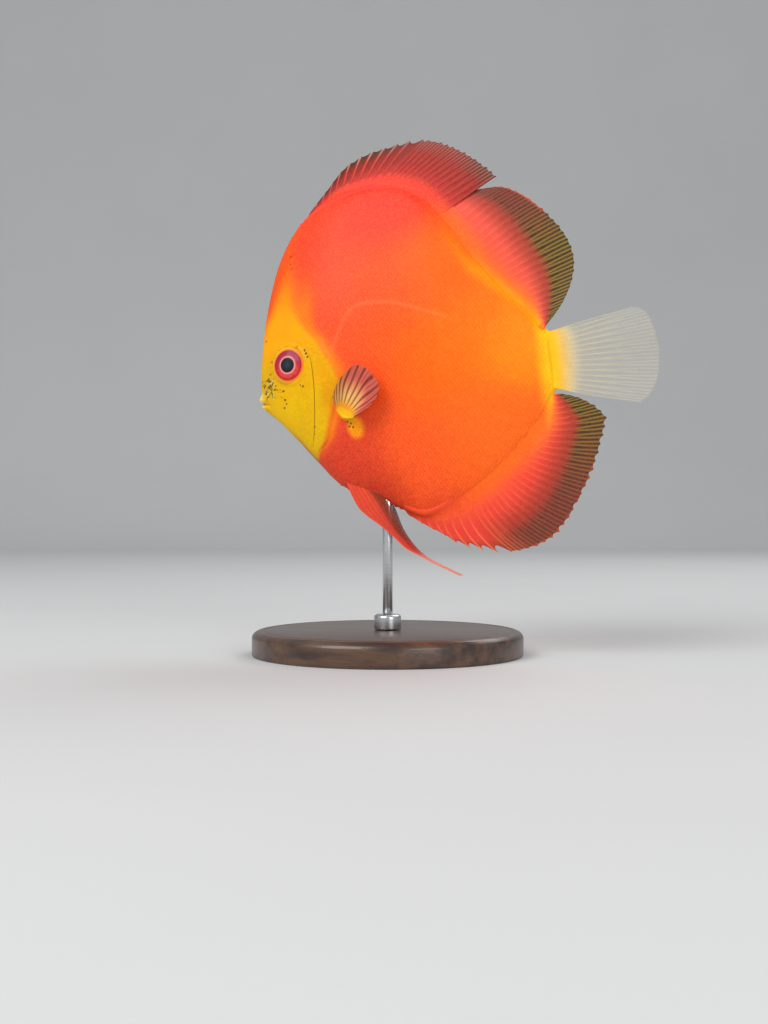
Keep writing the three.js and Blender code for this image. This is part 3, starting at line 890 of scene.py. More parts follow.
@dataclass
class MeshData:
    """Points, faces and what the mesh carries, gathered before it becomes an object."""

    points: Array
    faces: list[Array]
    colours: Array | None = None
    numbers: dict[str, Array] = field(default_factory=dict)
    corner_uv: Array | None = None
    crisp: bool = False

    def to_object(self, name: str, material: bpy.types.Material) -> bpy.types.Object:
        """Make the object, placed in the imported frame, with smooth faces.

        A crisp mesh keeps every group of faces after the first flat and their edges sharp.

        Args:
            name: the piece's name.
            material: its one material.

        Returns:
            The object, linked into the scene.
        """
        mesh = bpy.data.meshes.new(name)
        self.lay(mesh)
        self.shade(mesh)
        self.carry(mesh)
        mesh.validate(clean_customdata=False)
        mesh.update()
        made = bpy.data.objects.new(name, mesh)
        bpy.context.collection.objects.link(made)
        made.data.materials.append(material)
        return made

    def lay(self, mesh: bpy.types.Mesh) -> None:
        """Put the points and faces into an empty mesh."""
        counts = np.concatenate([np.full(len(f), f.shape[1]) for f in self.faces])
        corners = np.concatenate([f.ravel() for f in self.faces]).astype(np.int32)
        mesh.vertices.add(len(self.points))
        mesh.vertices.foreach_set("co", np.asarray(self.points, dtype=np.float32).ravel())
        mesh.loops.add(len(corners))
        mesh.loops.foreach_set("vertex_index", corners)
        mesh.polygons.add(len(counts))
        starts = np.concatenate([[0], np.cumsum(counts)[:-1]]).astype(np.int32)
        mesh.polygons.foreach_set("loop_start", starts)
        mesh.update(calc_edges=True)

    def shade(self, mesh: bpy.types.Mesh) -> None:
        """Shade the faces smooth, and on a crisp mesh only the first group of them."""
        soft = np.ones(len(mesh.polygons), dtype=bool)
        if self.crisp:
            soft[len(self.faces[0]):] = False
            edge_of = np.empty(len(mesh.loops), dtype=np.int32)
            mesh.loops.foreach_get("edge_index", edge_of)
            sharp = np.zeros(len(mesh.edges), dtype=bool)
            sharp[edge_of[self.faces[0].size:]] = True
            mesh.edges.foreach_set("use_edge_sharp", sharp)
        mesh.polygons.foreach_set("use_smooth", soft)

    def carry(self, mesh: bpy.types.Mesh) -> None:
        """Write the colours, the numbers and the bake map onto the mesh."""
        if self.colours is not None:
            layer = mesh.color_attributes.new("pigment", "FLOAT_COLOR", "POINT")
            rows = np.hstack([self.colours, np.ones((len(self.points), 1))]).astype(np.float32)
            layer.data.foreach_set("color", rows.ravel())
        for key, values in self.numbers.items():
            layer = mesh.attributes.new(key, "FLOAT", "POINT")
            layer.data.foreach_set("value", values.astype(np.float32).ravel())
        if self.corner_uv is not None:
            layer = mesh.uv_layers.new(name="OFBake")
            layer.data.foreach_set("uv", self.corner_uv.astype(np.float32).ravel())


def grid_faces(rows: int, columns: int, wrap: bool = False) -> Array:
    """Number the four-sided faces of a grid of points, row by row.

    Args:
        rows: how many rows of points.
        columns: how many points in a row.
        wrap: whether the last column joins the first.

    Returns:
        One row of four point numbers for each face.
    """
    last = columns if wrap else columns - 1
    r, c = np.meshgrid(np.arange(rows - 1), np.arange(last), indexing="ij")
    following = (c + 1) % columns
    corners = [r * columns + c, r * columns + following,
               (r + 1) * columns + following, (r + 1) * columns + c]
    return np.stack([corner.ravel() for corner in corners], axis=1)


def border(rows: int, columns: int) -> Array:
    """Number the points round the border of a grid, one after the other."""
    ids = np.arange(rows * columns).reshape(rows, columns)
    return np.concatenate([ids[0, :-1], ids[:-1, -1], ids[-1, :0:-1], ids[:0:-1, 0]])


def fan(tip: int, loop: Array) -> Array:
    """Join a tip to every edge of a closed loop of points, as triangles."""
    return np.stack([np.full(len(loop), tip), np.roll(loop, -1), loop], axis=1)


def tube_faces(rows: int, spokes: int) -> list[Array]:
    """Number the faces of a row of rings with both ends closed to a tip.

    Args:
        rows: how many rings.
        spokes: how many points in a ring. The tip of the first ring is numbered after all of
            them, and the tip of the last ring after that.

    Returns:
        The four-sided faces of the wall, and the triangles of the two ends.
    """
    ring = np.arange(spokes)
    tip = rows * spokes
    end = fan(tip + 1, tip - spokes + ring)[:, (0, 2, 1)]
    return [grid_faces(rows, spokes, wrap=True), fan(tip, ring), end]


def unit(rows: Array) -> Array:
    """Scale each row to length 1."""
    return rows / np.linalg.norm(rows, axis=-1, keepdims=True)


def outward(points: Array, faces: list[Array]) -> list[Array]:
    """Turn every face of a closed mesh round if its signed volume is negative.

    The volume is the sum over triangles of a . (b x c) / 6.

    Args:
        points: the mesh's points.
        faces: groups of faces of one size.

    Returns:
        The groups, with every face pointing out.
    """
    volume = 0.0
    for group in faces:
        corners = points[group]
        for k in range(1, group.shape[1] - 1):
            crossed = np.cross(corners[:, k], corners[:, k + 1])
            volume += float(np.einsum("ij,ij->", corners[:, 0], crossed))
    return [group[:, ::-1] for group in faces] if volume < 0 else faces


def present(piece: bpy.types.Object, nodes: tuple[str, ...] = ()) -> bpy.types.Object:
    """Let a finished piece ride on the model and stand for its nodes.

    Args:
        piece: the finished object.
        nodes: the nodes it stands for.

    Returns:
        The piece.
    """
    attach(piece, ROOT)
    if nodes:
        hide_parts(*nodes)
    LOG.info("%s: %d faces", piece.name, len(piece.data.polygons))
    return piece


@dataclass
class Skin:
    """The one skin over head, jaw, gill covers, trunk and tail stem."""

    head_step: float = 0.45
    cheek_step: float = 0.25
    cheek: Pair = (22.0, 29.5)
    trunk_step: float = 1.0
    head_length: float = 46.0
    around: int = 220
    crowding: float = 1.15
    least_half: float = 0.02
    nose_tip: Triple = (0.25, 0.0, 0.0)
    tail_tip: Triple = (0.1, 0.0, 0.0)
    push_reach: float = 1.6
    upper_push: Swell = Swell(-0.75, 1.9, 1.5)
    lower_push: Swell = Swell(-0.25, -1.4, 1.0)
    gape_pull: Swell = Swell(0.75, 0.0, 0.32)
    fold_pull: Swell = Swell(0.35, 4.6, 1.0)
    nodes: tuple[str, ...] = ("head", "lower_jaw", "gill_cover_left", "gill_cover_right",
                              "trunk", "tail_stem")

    def stations(self) -> Array:
        """Give the distances of the rings: crowded at the lips, over the cheek's rear line and
        at the tail's rounded end."""
        lips = 1.2 * np.linspace(0.0, 1.0, 11)[:-1] ** 2
        low, high = self.cheek
        head = np.concatenate([np.arange(1.2, low, self.head_step),
                               np.arange(low, high, self.cheek_step),
                               np.arange(high, self.head_length, self.head_step)])
        trunk = np.arange(self.head_length, BODY.length - 2.4, self.trunk_step)
        end = BODY.length - 2.2 * (1.0 - np.linspace(0.0, 1.0, 9)) ** 2
        return np.concatenate([lips, head, trunk, end])

    def build(self, material: bpy.types.Material) -> bpy.types.Object:
        """Build the skin as rings of points joined from mouth to tail.

        Half of sin(angle) and half of an even run, mixed, give a ring's share s, which is then
        drawn towards the edges as 1 - (1 - |s|)^1.15. Each share has the height and half width
        that the body has there, on the left side and then, the other way, on the right.

        Args:
            material: the skin's material.

        Returns:
            The piece.
        """
        x = self.stations()[:, None]
        turn = (np.arange(self.around) + 0.5) / self.around
        share = 0.5 * np.sin(np.pi * (turn - 0.5)) + 0.5 * (2.0 * turn - 1.0)
        share = np.sign(share) * (1.0 - (1.0 - np.abs(share)) ** self.crowding)
        z = BODY.z_at(x, share[None, :])
        y = np.maximum(BODY.skin_y(x + 0.0 * z, z), self.least_half)
        forward = self.lip_push(x, z)
        left = np.stack([x + forward, -y, z], axis=-1)
        right = np.stack([x + forward, y, z], axis=-1)[:, ::-1]
        rings = np.concatenate([left, right], axis=1)
        nose = rings[0].mean(axis=0) + self.nose_tip
        tail = rings[-1].mean(axis=0) + self.tail_tip
        points = np.vstack([rings.reshape(-1, 3), nose, tail])
        faces = outward(points, tube_faces(len(rings), rings.shape[1]))
        data = MeshData(
            FISH.to_world(points), faces,
            colours=MARKINGS.pigment(points[:, 0], points[:, 2]),
            numbers={"pepper": MARKINGS.pepper(points[:, 0], points[:, 2]),
                     "pore": MARKINGS.pores(points[:, 0], points[:, 2])})
        return present(data.to_object("skin", material), self.nodes)

    def lip_push(self, x: Array, z: Array) -> Array:
        """Push the lips forward and the gape between them back, at the very front."""
        above = z - HEAD.gape(x)
        front = np.exp(-np.maximum(x, 0.0) / self.push_reach)
        lips = self.upper_push(above) + self.lower_push(above)
        return front * (lips + self.gape_pull(above) + self.fold_pull(above))


@dataclass
class ScaleShape:
    """One scale: a thin closed plate, rounded behind, tucked in at its root."""

    along: int = 3
    across: int = 3
    under: Triple = (0.5, 0.0, -0.9)

    def template(self) -> tuple[Array, Array, Array, Array]:
        """Give points, top faces, underside faces and flat places for the bake map.

        Along the scale a runs 0 to 1 and across it b runs -1 to 1. The half width is
        sqrt(1 - (1.25a - 0.45)^2 / 0.72), the corners are drawn in by 0.1ab^2, and the top
        stands (0.2 + 0.8a)(1 - 0.55b^2) high. One point below closes the underside.

        Returns:
            The points, two groups of faces and the flat places.
        """
        a, b = np.meshgrid(np.linspace(0, 1, self.along + 1), np.linspace(-1, 1, self.across + 1),
                           indexing="ij")
        half = np.sqrt(np.maximum(1.0 - (1.25 * a - 0.45) ** 2 / 0.72, 0.06))
        reach = a - 0.10 * (b ** 2) * a
        crown = (0.20 + 0.80 * a) * (1.0 - 0.55 * b ** 2)
        top = np.stack([reach, b * half, crown], axis=-1).reshape(-1, 3)
        points = np.vstack([top, self.under])
        tops, unders = outward(points, [grid_faces(*a.shape), fan(len(top), border(*a.shape))])
        flat = np.stack([np.append(a.ravel(), 0.5), np.append(b.ravel() * 0.5 + 0.5, 0.5)], axis=1)
        return points, tops, unders, flat


@dataclass
class Roots:
    """Where scales grow: places, directions, sizes, bake places and how far they stand up.

    Scales with a side lie on the body and are bent to it. Others may have a colour each.
    """

    place: Array
    along: Array
    normal: Array
    size: Array
    bake: Array
    lift: Array
    colour: Array | None = None
    side: Side | None = None


@dataclass
class ScaleCoat:
    """Solid scales in staggered rows over the body, cheek and fin feet."""

    step: float = 1.6
    row: float = 1.16
    cheek_step: float = 1.2
    cheek_row: float = 0.92
    seed: int = 11
    patch: float = 0.003
    bake_start: Pair = (1.0, 1.02)
    bake_span: Pair = (128.0, 2.06)
    slope_step: float = 0.15
    tuck: float = 0.36
    sink: float = 0.002
    root_at: float = 0.40
    length: float = 1.95
    half_width: float = 0.88
    tone_spread: float = 0.06
    size_spread: Pair = (0.94, 1.08)
    flank_box: Box = (8.0, -58.0, 123.2, 82.0)
    flank_size: Pair = (0.62, 0.38)
    flank_lift: Pair = (0.016, 0.052)
    cheek_box: Box = (11.0, -30.0, 42.0, 26.0)
    cheek_size: Pair = (0.6, 0.3)
    cheek_lift: Pair = (0.010, 0.026)
    eye_clear: float = 8.6
    foot_box: Box = (0.012, -0.03, 0.985, 0.26)
    foot_step: Pair = (0.0165, 0.042)
    foot_size: Pair = (0.42, 0.36)
    foot_lift: Pair = (0.010, 0.018)
    foot_least: float = 9.0
    foot_slant: float = 0.55

    def lattice(self, box: Box, step: float,
                row: float) -> tuple[Array, Array]:
        """Give the places of staggered rows in a box of low x, low z, high x, high z.

        Args:
            box: low x, low z, high x and high z.
            step, row: the gap in a row, and from row to row.

        Returns:
            The x and the z of every place.
        """
        low_x, low_z, high_x, high_z = box
        rows = np.arange(low_z, high_z, row)
        columns = np.arange(low_x, high_x, step)
        x, z = np.meshgrid(columns, rows)
        x = x + (np.arange(len(rows)) % 2)[:, None] * step / 2.0
        return x.ravel(), z.ravel()

    def on_body(self, x: Array, z: Array, side: Side, size: Array, lift: Array) -> Roots:
        """Root scales on the skin, lying back along the lines of the body.

        Args:
            x, z: distances from the mouth, and heights.
            side: the side of the fish.
            size, lift: each scale's size, and how far it stands up.

        Returns:
            The roots.
        """
        step = self.slope_step
        y = BODY.skin_y(x, z)
        slope_x = (BODY.skin_y(x + step, z) - BODY.skin_y(x - step, z)) / (2 * step)
        slope_z = (BODY.skin_y(x, z + step) - BODY.skin_y(x, z - step)) / (2 * step)
        slope_x, slope_z = np.clip(slope_x, -2, 2), np.clip(slope_z, -3, 3)
        share = BODY.share_at(x, z)
        flow = (BODY.z_at(x + 1.0, share) - BODY.z_at(x - 1.0, share)) * 0.5
        flow = np.clip(flow, -0.5, 0.5) * 0.45
        sign = side.value
        along = np.stack([np.ones_like(x), sign * (slope_x + slope_z * flow), flow], axis=-1)
        normal = np.stack([-slope_x, sign * np.ones_like(x), -slope_z], axis=-1)
        place = np.stack([x, sign * y, z], axis=-1)
        bake = (np.stack([x, share], axis=-1) + self.bake_start) / self.bake_span
        return Roots(place, unit(along), unit(normal), size, bake, lift, side=side)

    def on_fin(self, fin: Fin, side: Side) -> Roots:
        """Root scales on a fin's foot, smaller and flatter the further they stand out.

        Args:
            fin: the fin.
            side: the side of it that the scales lie on.

        Returns:
            The roots, with the fin's own colours.
        """
        reach = self.foot_box[3]
        u, v = self.lattice(self.foot_box, *self.foot_step)
        place = fin.surface(u, v, side)
        out = unit(fin.surface(u, v + 0.04, side) - place)
        aside = unit(fin.surface(u + 0.01, v, side) - place)
        along = unit(out + self.foot_slant * aside)
        normal = unit(np.cross(out, aside))
        normal = normal * np.sign(normal[:, 1:2]) * side.value
        fade = smooth(reach, reach * 0.4, v)
        keep = np.linalg.norm(fin.margin(u) - fin.foot(u), axis=-1) > self.foot_least
        shade = fin.paint(u, np.maximum(v, 0.0), 0.0 * u, place[:, ::2])[0]
        size = self.step * (self.foot_size[0] + self.foot_size[1] * fade)
        lift = self.foot_lift[0] + self.foot_lift[1] * fade
        return Roots(place[keep], along[keep], normal[keep], size[keep],
                     np.stack([u, 0.1 + v], axis=-1)[keep], lift[keep], shade[keep])

    def build(self, name: str, roots: Roots, material: bpy.types.Material) -> bpy.types.Object:
        """Copy the scale to every root.

        A point of a scale lies at root + along * (a - root_at) * size * length
        + across * b * size * half_width + normal * (c * lift - tuck * lift - sink), so the
        root end is tucked in. On the body the plate is bent to the skin before it is lifted,
        so that it lies close all over. Tones are drawn first, then sizes.

        Args:
            name: the piece's name.
            roots: where the scales grow.
            material: the skin's material.

        Returns:
            The piece.
        """
        points, top, under, flat = ScaleShape().template()
        generator = np.random.default_rng(self.seed)
        count = len(roots.place)
        tone = 1.0 + generator.uniform(-self.tone_spread, self.tone_spread, (count, 1, 1))
        jitter = generator.uniform(*self.size_spread, (count, 1, 1))
        across = np.cross(roots.normal, roots.along)
        size = roots.size[:, None, None] * jitter
        a, b, c = (points[None, :, k, None] for k in range(3))
        plates = (roots.place[:, None]
                  + roots.along[:, None] * (a - self.root_at) * size * self.length
                  + across[:, None] * b * size * self.half_width)
        if roots.side is not None:
            plates[..., 1] = roots.side.value * BODY.skin_y(plates[..., 0], plates[..., 2])
        lift = roots.lift[:, None, None]
        places = plates + roots.normal[:, None] * (c * lift - self.tuck * lift - self.sink)
        offsets = (np.arange(count) * len(points))[:, None, None]
        faces = [(group[None] + offsets).reshape(-1, group.shape[1]) for group in (top, under)]
        if roots.colour is None:
            colours = MARKINGS.pigment(places[..., 0], places[..., 2], lines=False) * tone
        else:
            colours = roots.colour[:, None] * tone + np.zeros_like(places)
        edge = smooth(0.62, 1.0, points[None, :, 0]) * smooth(0.015, 0.045, roots.lift)[:, None]
        flat_places = places.reshape(-1, 3)
        x, z = flat_places[:, 0], flat_places[:, 2]
        data = MeshData(
            FISH.to_world(flat_places), faces, colours=colours.reshape(-1, 3),
            numbers={"edge": edge.ravel(), "pepper": MARKINGS.pepper(x, z),
                     "pore": MARKINGS.pores(x, z)},
            corner_uv=self.bake_map(roots.bake, top, under, flat), crisp=True)
        return present(data.to_object(name, material))

    def bake_map(self, bake: Array, top: Array, under: Array, flat: Array) -> Array:
        """Lay each scale in a patch of its own at its root's place.

        The top fills the left three fifths of the patch, and the underside the rest.

        Args:
            bake: each root's place on the unwrap.
            top, under: the faces of one scale.
            flat: the flat places of its points.

        Returns:
            A place on the map for every corner of every face.
        """
        above = flat[top.ravel()] * (0.58, 1.0)
        below = flat[under.ravel()] * (0.36, 1.0) + (0.64, 0.0)
        tops = bake[:, None] + (above[None] - 0.5) * self.patch
        unders = bake[:, None] + (below[None] - 0.5) * self.patch
        return np.concatenate([tops.reshape(-1, 2), unders.reshape(-1, 2)])

    def flank(self, side: Side, material: bpy.types.Material) -> None:
        """Cover one flank, from the gill cover and nape to the tail stem.

        The scales shrink and flatten towards the naked face, so that they run out softly.
        """
        x, z = self.lattice(self.flank_box, self.step, self.row)
        share = BODY.share_at(x, z)
        inside = (z < BODY.back(x) - 0.5) & (z > BODY.belly(x) + 0.5) & (np.abs(share) < 0.992)
        mask = read_line(MARKINGS.mask_edge, z)
        low = smooth(31.0, 20.0, z)
        start = (mask - 5.0) * (1.0 - low) + np.maximum(HEAD.cover_x(z) + 0.7, mask - 5.0) * low
        away = HEAD.pad_distance(x, z) > 1.3
        keep = inside & (x > start + 0.6) & away
        x, z = x[keep], z[keep]
        fade = smooth(0.0, 9.0, x - start[keep])
        size = self.step * (self.flank_size[0] + self.flank_size[1] * fade)
        lift = self.flank_lift[0] + self.flank_lift[1] * fade
        self.build(f"scales_{side.word}", self.on_body(x, z, side, size, lift), material)

    def cheek(self, side: Side, material: bpy.types.Material) -> None:
        """Cover one cheek and gill cover with smaller, flatter scales."""
        x, z = self.lattice(self.cheek_box, self.cheek_step, self.cheek_row)
        ahead = HEAD.cover_x(z) - x
        radius = np.hypot(x - HEAD.eye[0], z - HEAD.eye[1])
        start = np.where(z < 4.0, 14.0 + (z + 8.0) * 0.1, 21.0)
        keep = (ahead > 1.0) & (radius > self.eye_clear) & (z > BODY.belly(x) + 3.0)
        keep &= (x > start) & (HEAD.line_gap(x, z) > 1.5)
        x, z = x[keep], z[keep]
        fade = smooth(0.0, 6.0, x - start[keep]) * smooth(26.0, 18.0, z)
        fade = fade * smooth(self.eye_clear, 12.0, radius[keep])
        size = self.cheek_step * (self.cheek_size[0] + self.cheek_size[1] * fade)
        lift = self.cheek_lift[0] + self.cheek_lift[1] * fade
        self.build(f"cheek_scales_{side.word}", self.on_body(x, z, side, size, lift), material)

    def feet(self, fin: Fin, material: bpy.types.Material) -> None:
        """Cover the foot of a fin on both sides."""
        for side in Side:
            self.build(f"{fin.name}_scales_{side.word}", self.on_fin(fin, side), material)


class Membrane(Enum):
    """The finishes of fins, by the record's slots."""

    RED = "fin_red"
    CLEAR = "fin_clear"


Shade = Callable[["Fin", Array, Array, Array], Array]
Drape = Callable[[Array, Array, Array], Array]


@dataclass(frozen=True)
class FinLook:
    """Colours of a fin's membrane and rays, and how much light they stop.

    The membrane stops all light at the foot and the share cover_edge of it outside, between
    the two places that clears gives. A ray stops ray_cover of what the membrane lets through.
    A colour that the fin's shade doesn't use is None.
    """

    foot: Colour
    middle: Colour
    ray: Colour
    margin: Colour | None = None
    ray_tip: Colour | None = None
    cover_edge: float = 0.8
    clears: Pair = (0.35, 0.95)
    ray_cover: float = 0.45


@dataclass
class Fin:
    """A fin between a foot line and a margin, ruled by rays that bow by a share of their length.

    Across the fin u runs 0 to 1 and out along a ray v runs 0 to 1. A point is the quadratic
    Bezier (1-v)^2 foot + 2v(1-v) control + v^2 margin, where the control point stands off the
    middle of the chord by twice the bow.
    """

    name: str
    foot: Curve
    margin: Curve
    bow: Curve
    look: FinLook
    spines: int
    rays: int
    shade: Shade
    spiny_share: float = 0.0
    root_depth: float = 2.6
    foot_half: float = 1.25
    foot_rear: float = 1.25
    edge_half: float = 0.16
    ray_height: float = 0.16
    swell_reach: float = 0.20
    swell_deepest: float = -0.12
    swell_left: float = 0.0067
    ragged: float = 0.02
    notch: float = 0.05
    soft_notch: float = 0.0
    side_step: float = 0.0
    wave: float = 0.5
    slot: Membrane = Membrane.RED
    samples: int = 8
    out: int = 46
    seed: int = 3
    drape: Drape | None = None

    def phase(self, u: Array) -> Array:
        """Count the rays passed: evenly through the spiny part, then through the soft one."""
        if self.spiny_share <= 0.0:
            return u * self.rays
        spiny = u / self.spiny_share * self.spines
        soft = self.spines + (u - self.spiny_share) / (1.0 - self.spiny_share) * self.rays
        return np.where(u < self.spiny_share, spiny, soft)

    def columns(self) -> Array:
        """Give the shares u of the columns, so many to each ray."""
        total = self.spines + self.rays
        wanted = np.linspace(0.0, total, total * self.samples + 1)
        fine = np.linspace(0.0, 1.0, 4001)
        return np.interp(wanted, self.phase(fine), fine)

    def ridge(self, u: Array, v: Array) -> Array:
        """Give how near a place is to a ray: 1 on it, 0 between. Soft rays fork outwards.

        Args:
            u, v: shares across the fin and out along a ray.

        Returns:
            The nearness, from 0 to 1.
        """
        phase = self.phase(u)
        off = phase - np.round(phase)
        soft = (u >= self.spiny_share).astype(float)
        fork = 0.24 * smooth(0.30, 0.85, v) * soft
        near = np.minimum(np.abs(off - fork), np.abs(off + fork))
        near = np.minimum(near, np.abs(1.0 - np.abs(off) - fork))
        width = np.where(soft > 0, 0.11, 0.085)
        return bell(near, width)

    def spread(self, u: Array, v: Array) -> Array:
        """Give the places of the fin's middle sheet, as rows of x and z."""
        start, end = self.foot(u), self.margin(u)
        chord = end - start
        lift = np.stack([-chord[..., 1], chord[..., 0]], axis=-1) * 2.0 * self.bow(u)[..., None]
        control = (start + end) / 2.0 + lift
        v = v[..., None]
        return (1 - v) ** 2 * start + 2 * v * (1 - v) * control + v ** 2 * end

    def reach(self, u: Array) -> Array:
        """Give how far each column runs: full at a ray's tip, less between, and ragged."""
        generator = np.random.default_rng(self.seed)
        phase = self.phase(u)
        knots = generator.uniform(-1.0, 0.0, int(phase.max()) * 2 + 4)
        rough = np.interp(phase * 2.0, np.arange(len(knots)), knots)
        gap = np.abs(np.sin(np.pi * phase))
        spiny = (u < self.spiny_share).astype(float)
        dip = self.notch * spiny + self.soft_notch * (1.0 - spiny)
        return 1.0 - dip * gap ** 0.8 - self.ragged * (0.6 * gap - rough) * 0.8

    def half_at(self, u: Array, v: Array) -> Array:
        """Give the membrane's half thickness: it swells below the foot and thins outwards.

        It is edge + (foot - edge)(exp(-v / reach) - left), where v is held at the deepest, and
        left is what the exponential leaves at the margin.
        """
        foot = self.foot_half + (self.foot_rear - self.foot_half) * u - self.edge_half
        swell = np.exp(-np.maximum(v, self.swell_deepest) / self.swell_reach) - self.swell_left
        return self.edge_half + foot * swell

    def surface(self, u: Array, v: Array, side: Side) -> Array:
        """Give places on one face of the fin, as rows of x, y and z, without the rays."""
        middle = self.spread(u, v)
        half = self.half_at(u, v)
        return np.stack([middle[..., 0], side.value * half, middle[..., 1]], axis=-1)

    def sheet(self) -> tuple[Array, Array, Array, Array, Array]:
        """Give u, v, the ridge, the middle sheet and the half thickness on the fin's grid.

        Returns:
            Five grids of one shape, the sheet's with a last axis of x and z.
        """
        u = self.columns()
        root = np.linspace(-1.0, 0.0, 4)[:-1]
        out = np.linspace(0.0, 1.0, self.out + 1)
        steps = np.concatenate([root, out])
        column, step = np.meshgrid(u, steps, indexing="ij")
        v = np.maximum(step, 0.0) * self.reach(column)
        middle = self.spread(column, v)
        inward = unit(self.spread(column, v * 0.0) - self.spread(column, v * 0.0 + 0.05))
        length = np.linalg.norm(self.margin(column) - self.foot(column), axis=-1)
        middle = middle + inward * (np.maximum(-step, 0.0) * self.root_depth)[..., None]
        ridge = self.ridge(column, v) * smooth(-0.02, 0.12, step)
        deep = np.minimum(step, 0.0) * self.root_depth / np.maximum(length, 1.0)
        half = self.half_at(column, np.maximum(step, 0.0) + deep)
        rays = self.ray_height * ridge * (1.0 - 0.55 * v) * smooth(0.0, 4.0, length)
        half = half + rays * smooth(0.04, 0.30, step)
        return column, v, ridge, middle, half

    def build(self, nodes: tuple[str, ...], finish: bpy.types.Material) -> bpy.types.Object:
        """Build the fin as a closed plate: two faces half a thickness off the middle sheet.

        The whole plate sways by wave * sin(9u + 2.5v) v^1.5, and its front end steps aside.

        Args:
            nodes: the nodes that the fin stands for.
            finish: its material.

        Returns:
            The piece.
        """
        u, v, ridge, middle, half = self.sheet()
        sway = self.wave * np.sin(u * 9.0 + v * 2.5) * v ** 1.5
        sway = sway + self.side_step * smooth(0.16, 0.0, u) * smooth(0.0, 0.3, v)
        sides = []
        for side in Side:
            y = sway + side.value * half
            sheet = np.stack([middle[..., 0], y, middle[..., 1]], axis=-1)
            if self.drape is not None:
                sheet = self.drape(sheet, u, v)
            sides.append(sheet.reshape(-1, 3))
        points = np.vstack(sides)
        faces = grid_faces(*u.shape)
        loop = border(*u.shape)
        after = np.roll(loop, -1)
        rim = np.stack([loop, after, after + u.size, loop + u.size], axis=1)
        solid = outward(points, [faces[:, ::-1], faces + u.size, rim])
        colours, cover = self.paint(u, v, ridge, middle)
        data = MeshData(
            FISH.to_world(points), solid, colours=np.tile(colours.reshape(-1, 3), (2, 1)),
            numbers={"cover": np.tile(cover.ravel(), 2)})
        return present(data.to_object(self.name, finish), nodes)

    def paint(self, u: Array, v: Array, ridge: Array, middle: Array) -> tuple[Array, Array]:
        """Give the colour and the cover at each place: the body's colour runs into the foot.

        Args:
            u, v: shares across the fin and out along a ray.
            ridge: nearness to a ray.
            middle: places as x and z.

        Returns:
            Linear colours, and covers from 0, clear, to 1.
        """
        look = self.look
        body = MARKINGS.pigment(middle[..., 0], middle[..., 1])
        colour = blend(body, self.shade(self, u, v, ridge), smooth(0.0, 0.26, v))
        cover = 1.0 + (look.cover_edge - 1.0) * smooth(*look.clears, v)
        return colour, np.clip(cover + look.ray_cover * ridge * (1.0 - cover), 0.0, 1.0)


FOOT_SINK = 0.5


def foot_along(line: Profile, start: float, end: float, side: int, power: float = 1.0) -> Curve:
    """Give a foot line that follows the back or the belly, sunk a little into the body.

    Args:
        line: the profile that the foot follows.
        start: the distance from the mouth at which the foot starts.
        end: the distance at which it ends.
        side: 1 on the back and -1 on the belly.
        power: 1 for an even run, and less to draw the rays towards the end.

    Returns:
        The curve.
    """
    def curve(u: Array) -> Array:
        """Give the foot at each share."""
        x = start + (end - start) * np.maximum(u, 0.0) ** power
        slope = line(x + 0.5) - line(x - 0.5)
        away = unit(np.stack([-slope, np.ones_like(slope)], axis=-1)) * side * -FOOT_SINK
        return np.stack([x, line(x)], axis=-1) + away
    return curve


@dataclass(frozen=True)
class MarginShades:
    """Colours of the rear fins' margins. A pair runs from the fin's front to its tail end."""

    glow: Colour = (255, 140, 30)
    dusky: tuple[Colour, Colour] = ((140, 46, 38), (132, 50, 36))
    dark: tuple[Colour, Colour] = ((92, 40, 30), (34, 30, 14))
    pale: tuple[Colour, Colour] = ((140, 72, 54), (144, 126, 54))
    rim: Colour = (238, 92, 50)


SHADES = MarginShades()
FAN_PINK: Colour = (226, 106, 92)
THREAD_PALE: Colour = (226, 176, 160)


def striped_margin(fin: Fin, u: Array, v: Array, ridge: Array) -> Array:
    """Shade a rear fin: pink-red with fine rays, then a dark margin striped olive yellow.

    The striping grows towards the tail end of the fin, and the olive with it.
    """
    look = fin.look
    late = smooth(fin.spiny_share + 0.22, fin.spiny_share + 0.58, u)
    start = 0.58 - 0.06 * late
    inner = blend(look.foot, look.middle, smooth(0.05, 0.40, v))
    inner = blend(inner, SHADES.glow, 0.75 * smooth(0.55, 1.0, u) * smooth(0.45, 0.1, v))
    streak = blend(look.ray, look.ray_tip, smooth(0.6, 1.0, v))
    inner = blend(inner, streak, 0.40 * ridge * smooth(0.1, 0.4, v))
    dusky = blend(*SHADES.dusky, late)
    inner = blend(inner, dusky, 0.75 * smooth(start - 0.28, start + 0.04, v))
    outer = blend(blend(*SHADES.dark, late), blend(*SHADES.pale, late), ridge)
    mixed = blend(inner, outer, smooth(start, start + 0.16, v))
    rim = smooth(0.955, 0.985, v) * smooth(0.5, 0.2, late)
    return blend(mixed, SHADES.rim, 0.7 * rim)


def spiny_margin(fin: Fin, u: Array, v: Array, ridge: Array) -> Array:
    """Shade the front dorsal fin: deep red, with dark membranes between pale spines outside."""
    look = fin.look
    membrane = blend(look.foot, look.middle, smooth(0.05, 0.55, v))
    early = smooth(0.62, 0.40, u)
    late = smooth(0.78, 0.98, u)
    fade = smooth(0.50, 0.95, v) * np.clip(0.30 + 0.65 * early + 0.5 * late, 0.0, 1.0)
    membrane = blend(membrane, look.margin, fade)
    ray = blend(look.ray, look.ray_tip, smooth(0.62, 1.0, v))
    strength = ridge * smooth(0.10, 0.55, v) * (0.35 + 0.60 * early)
    return blend(membrane, ray, strength)


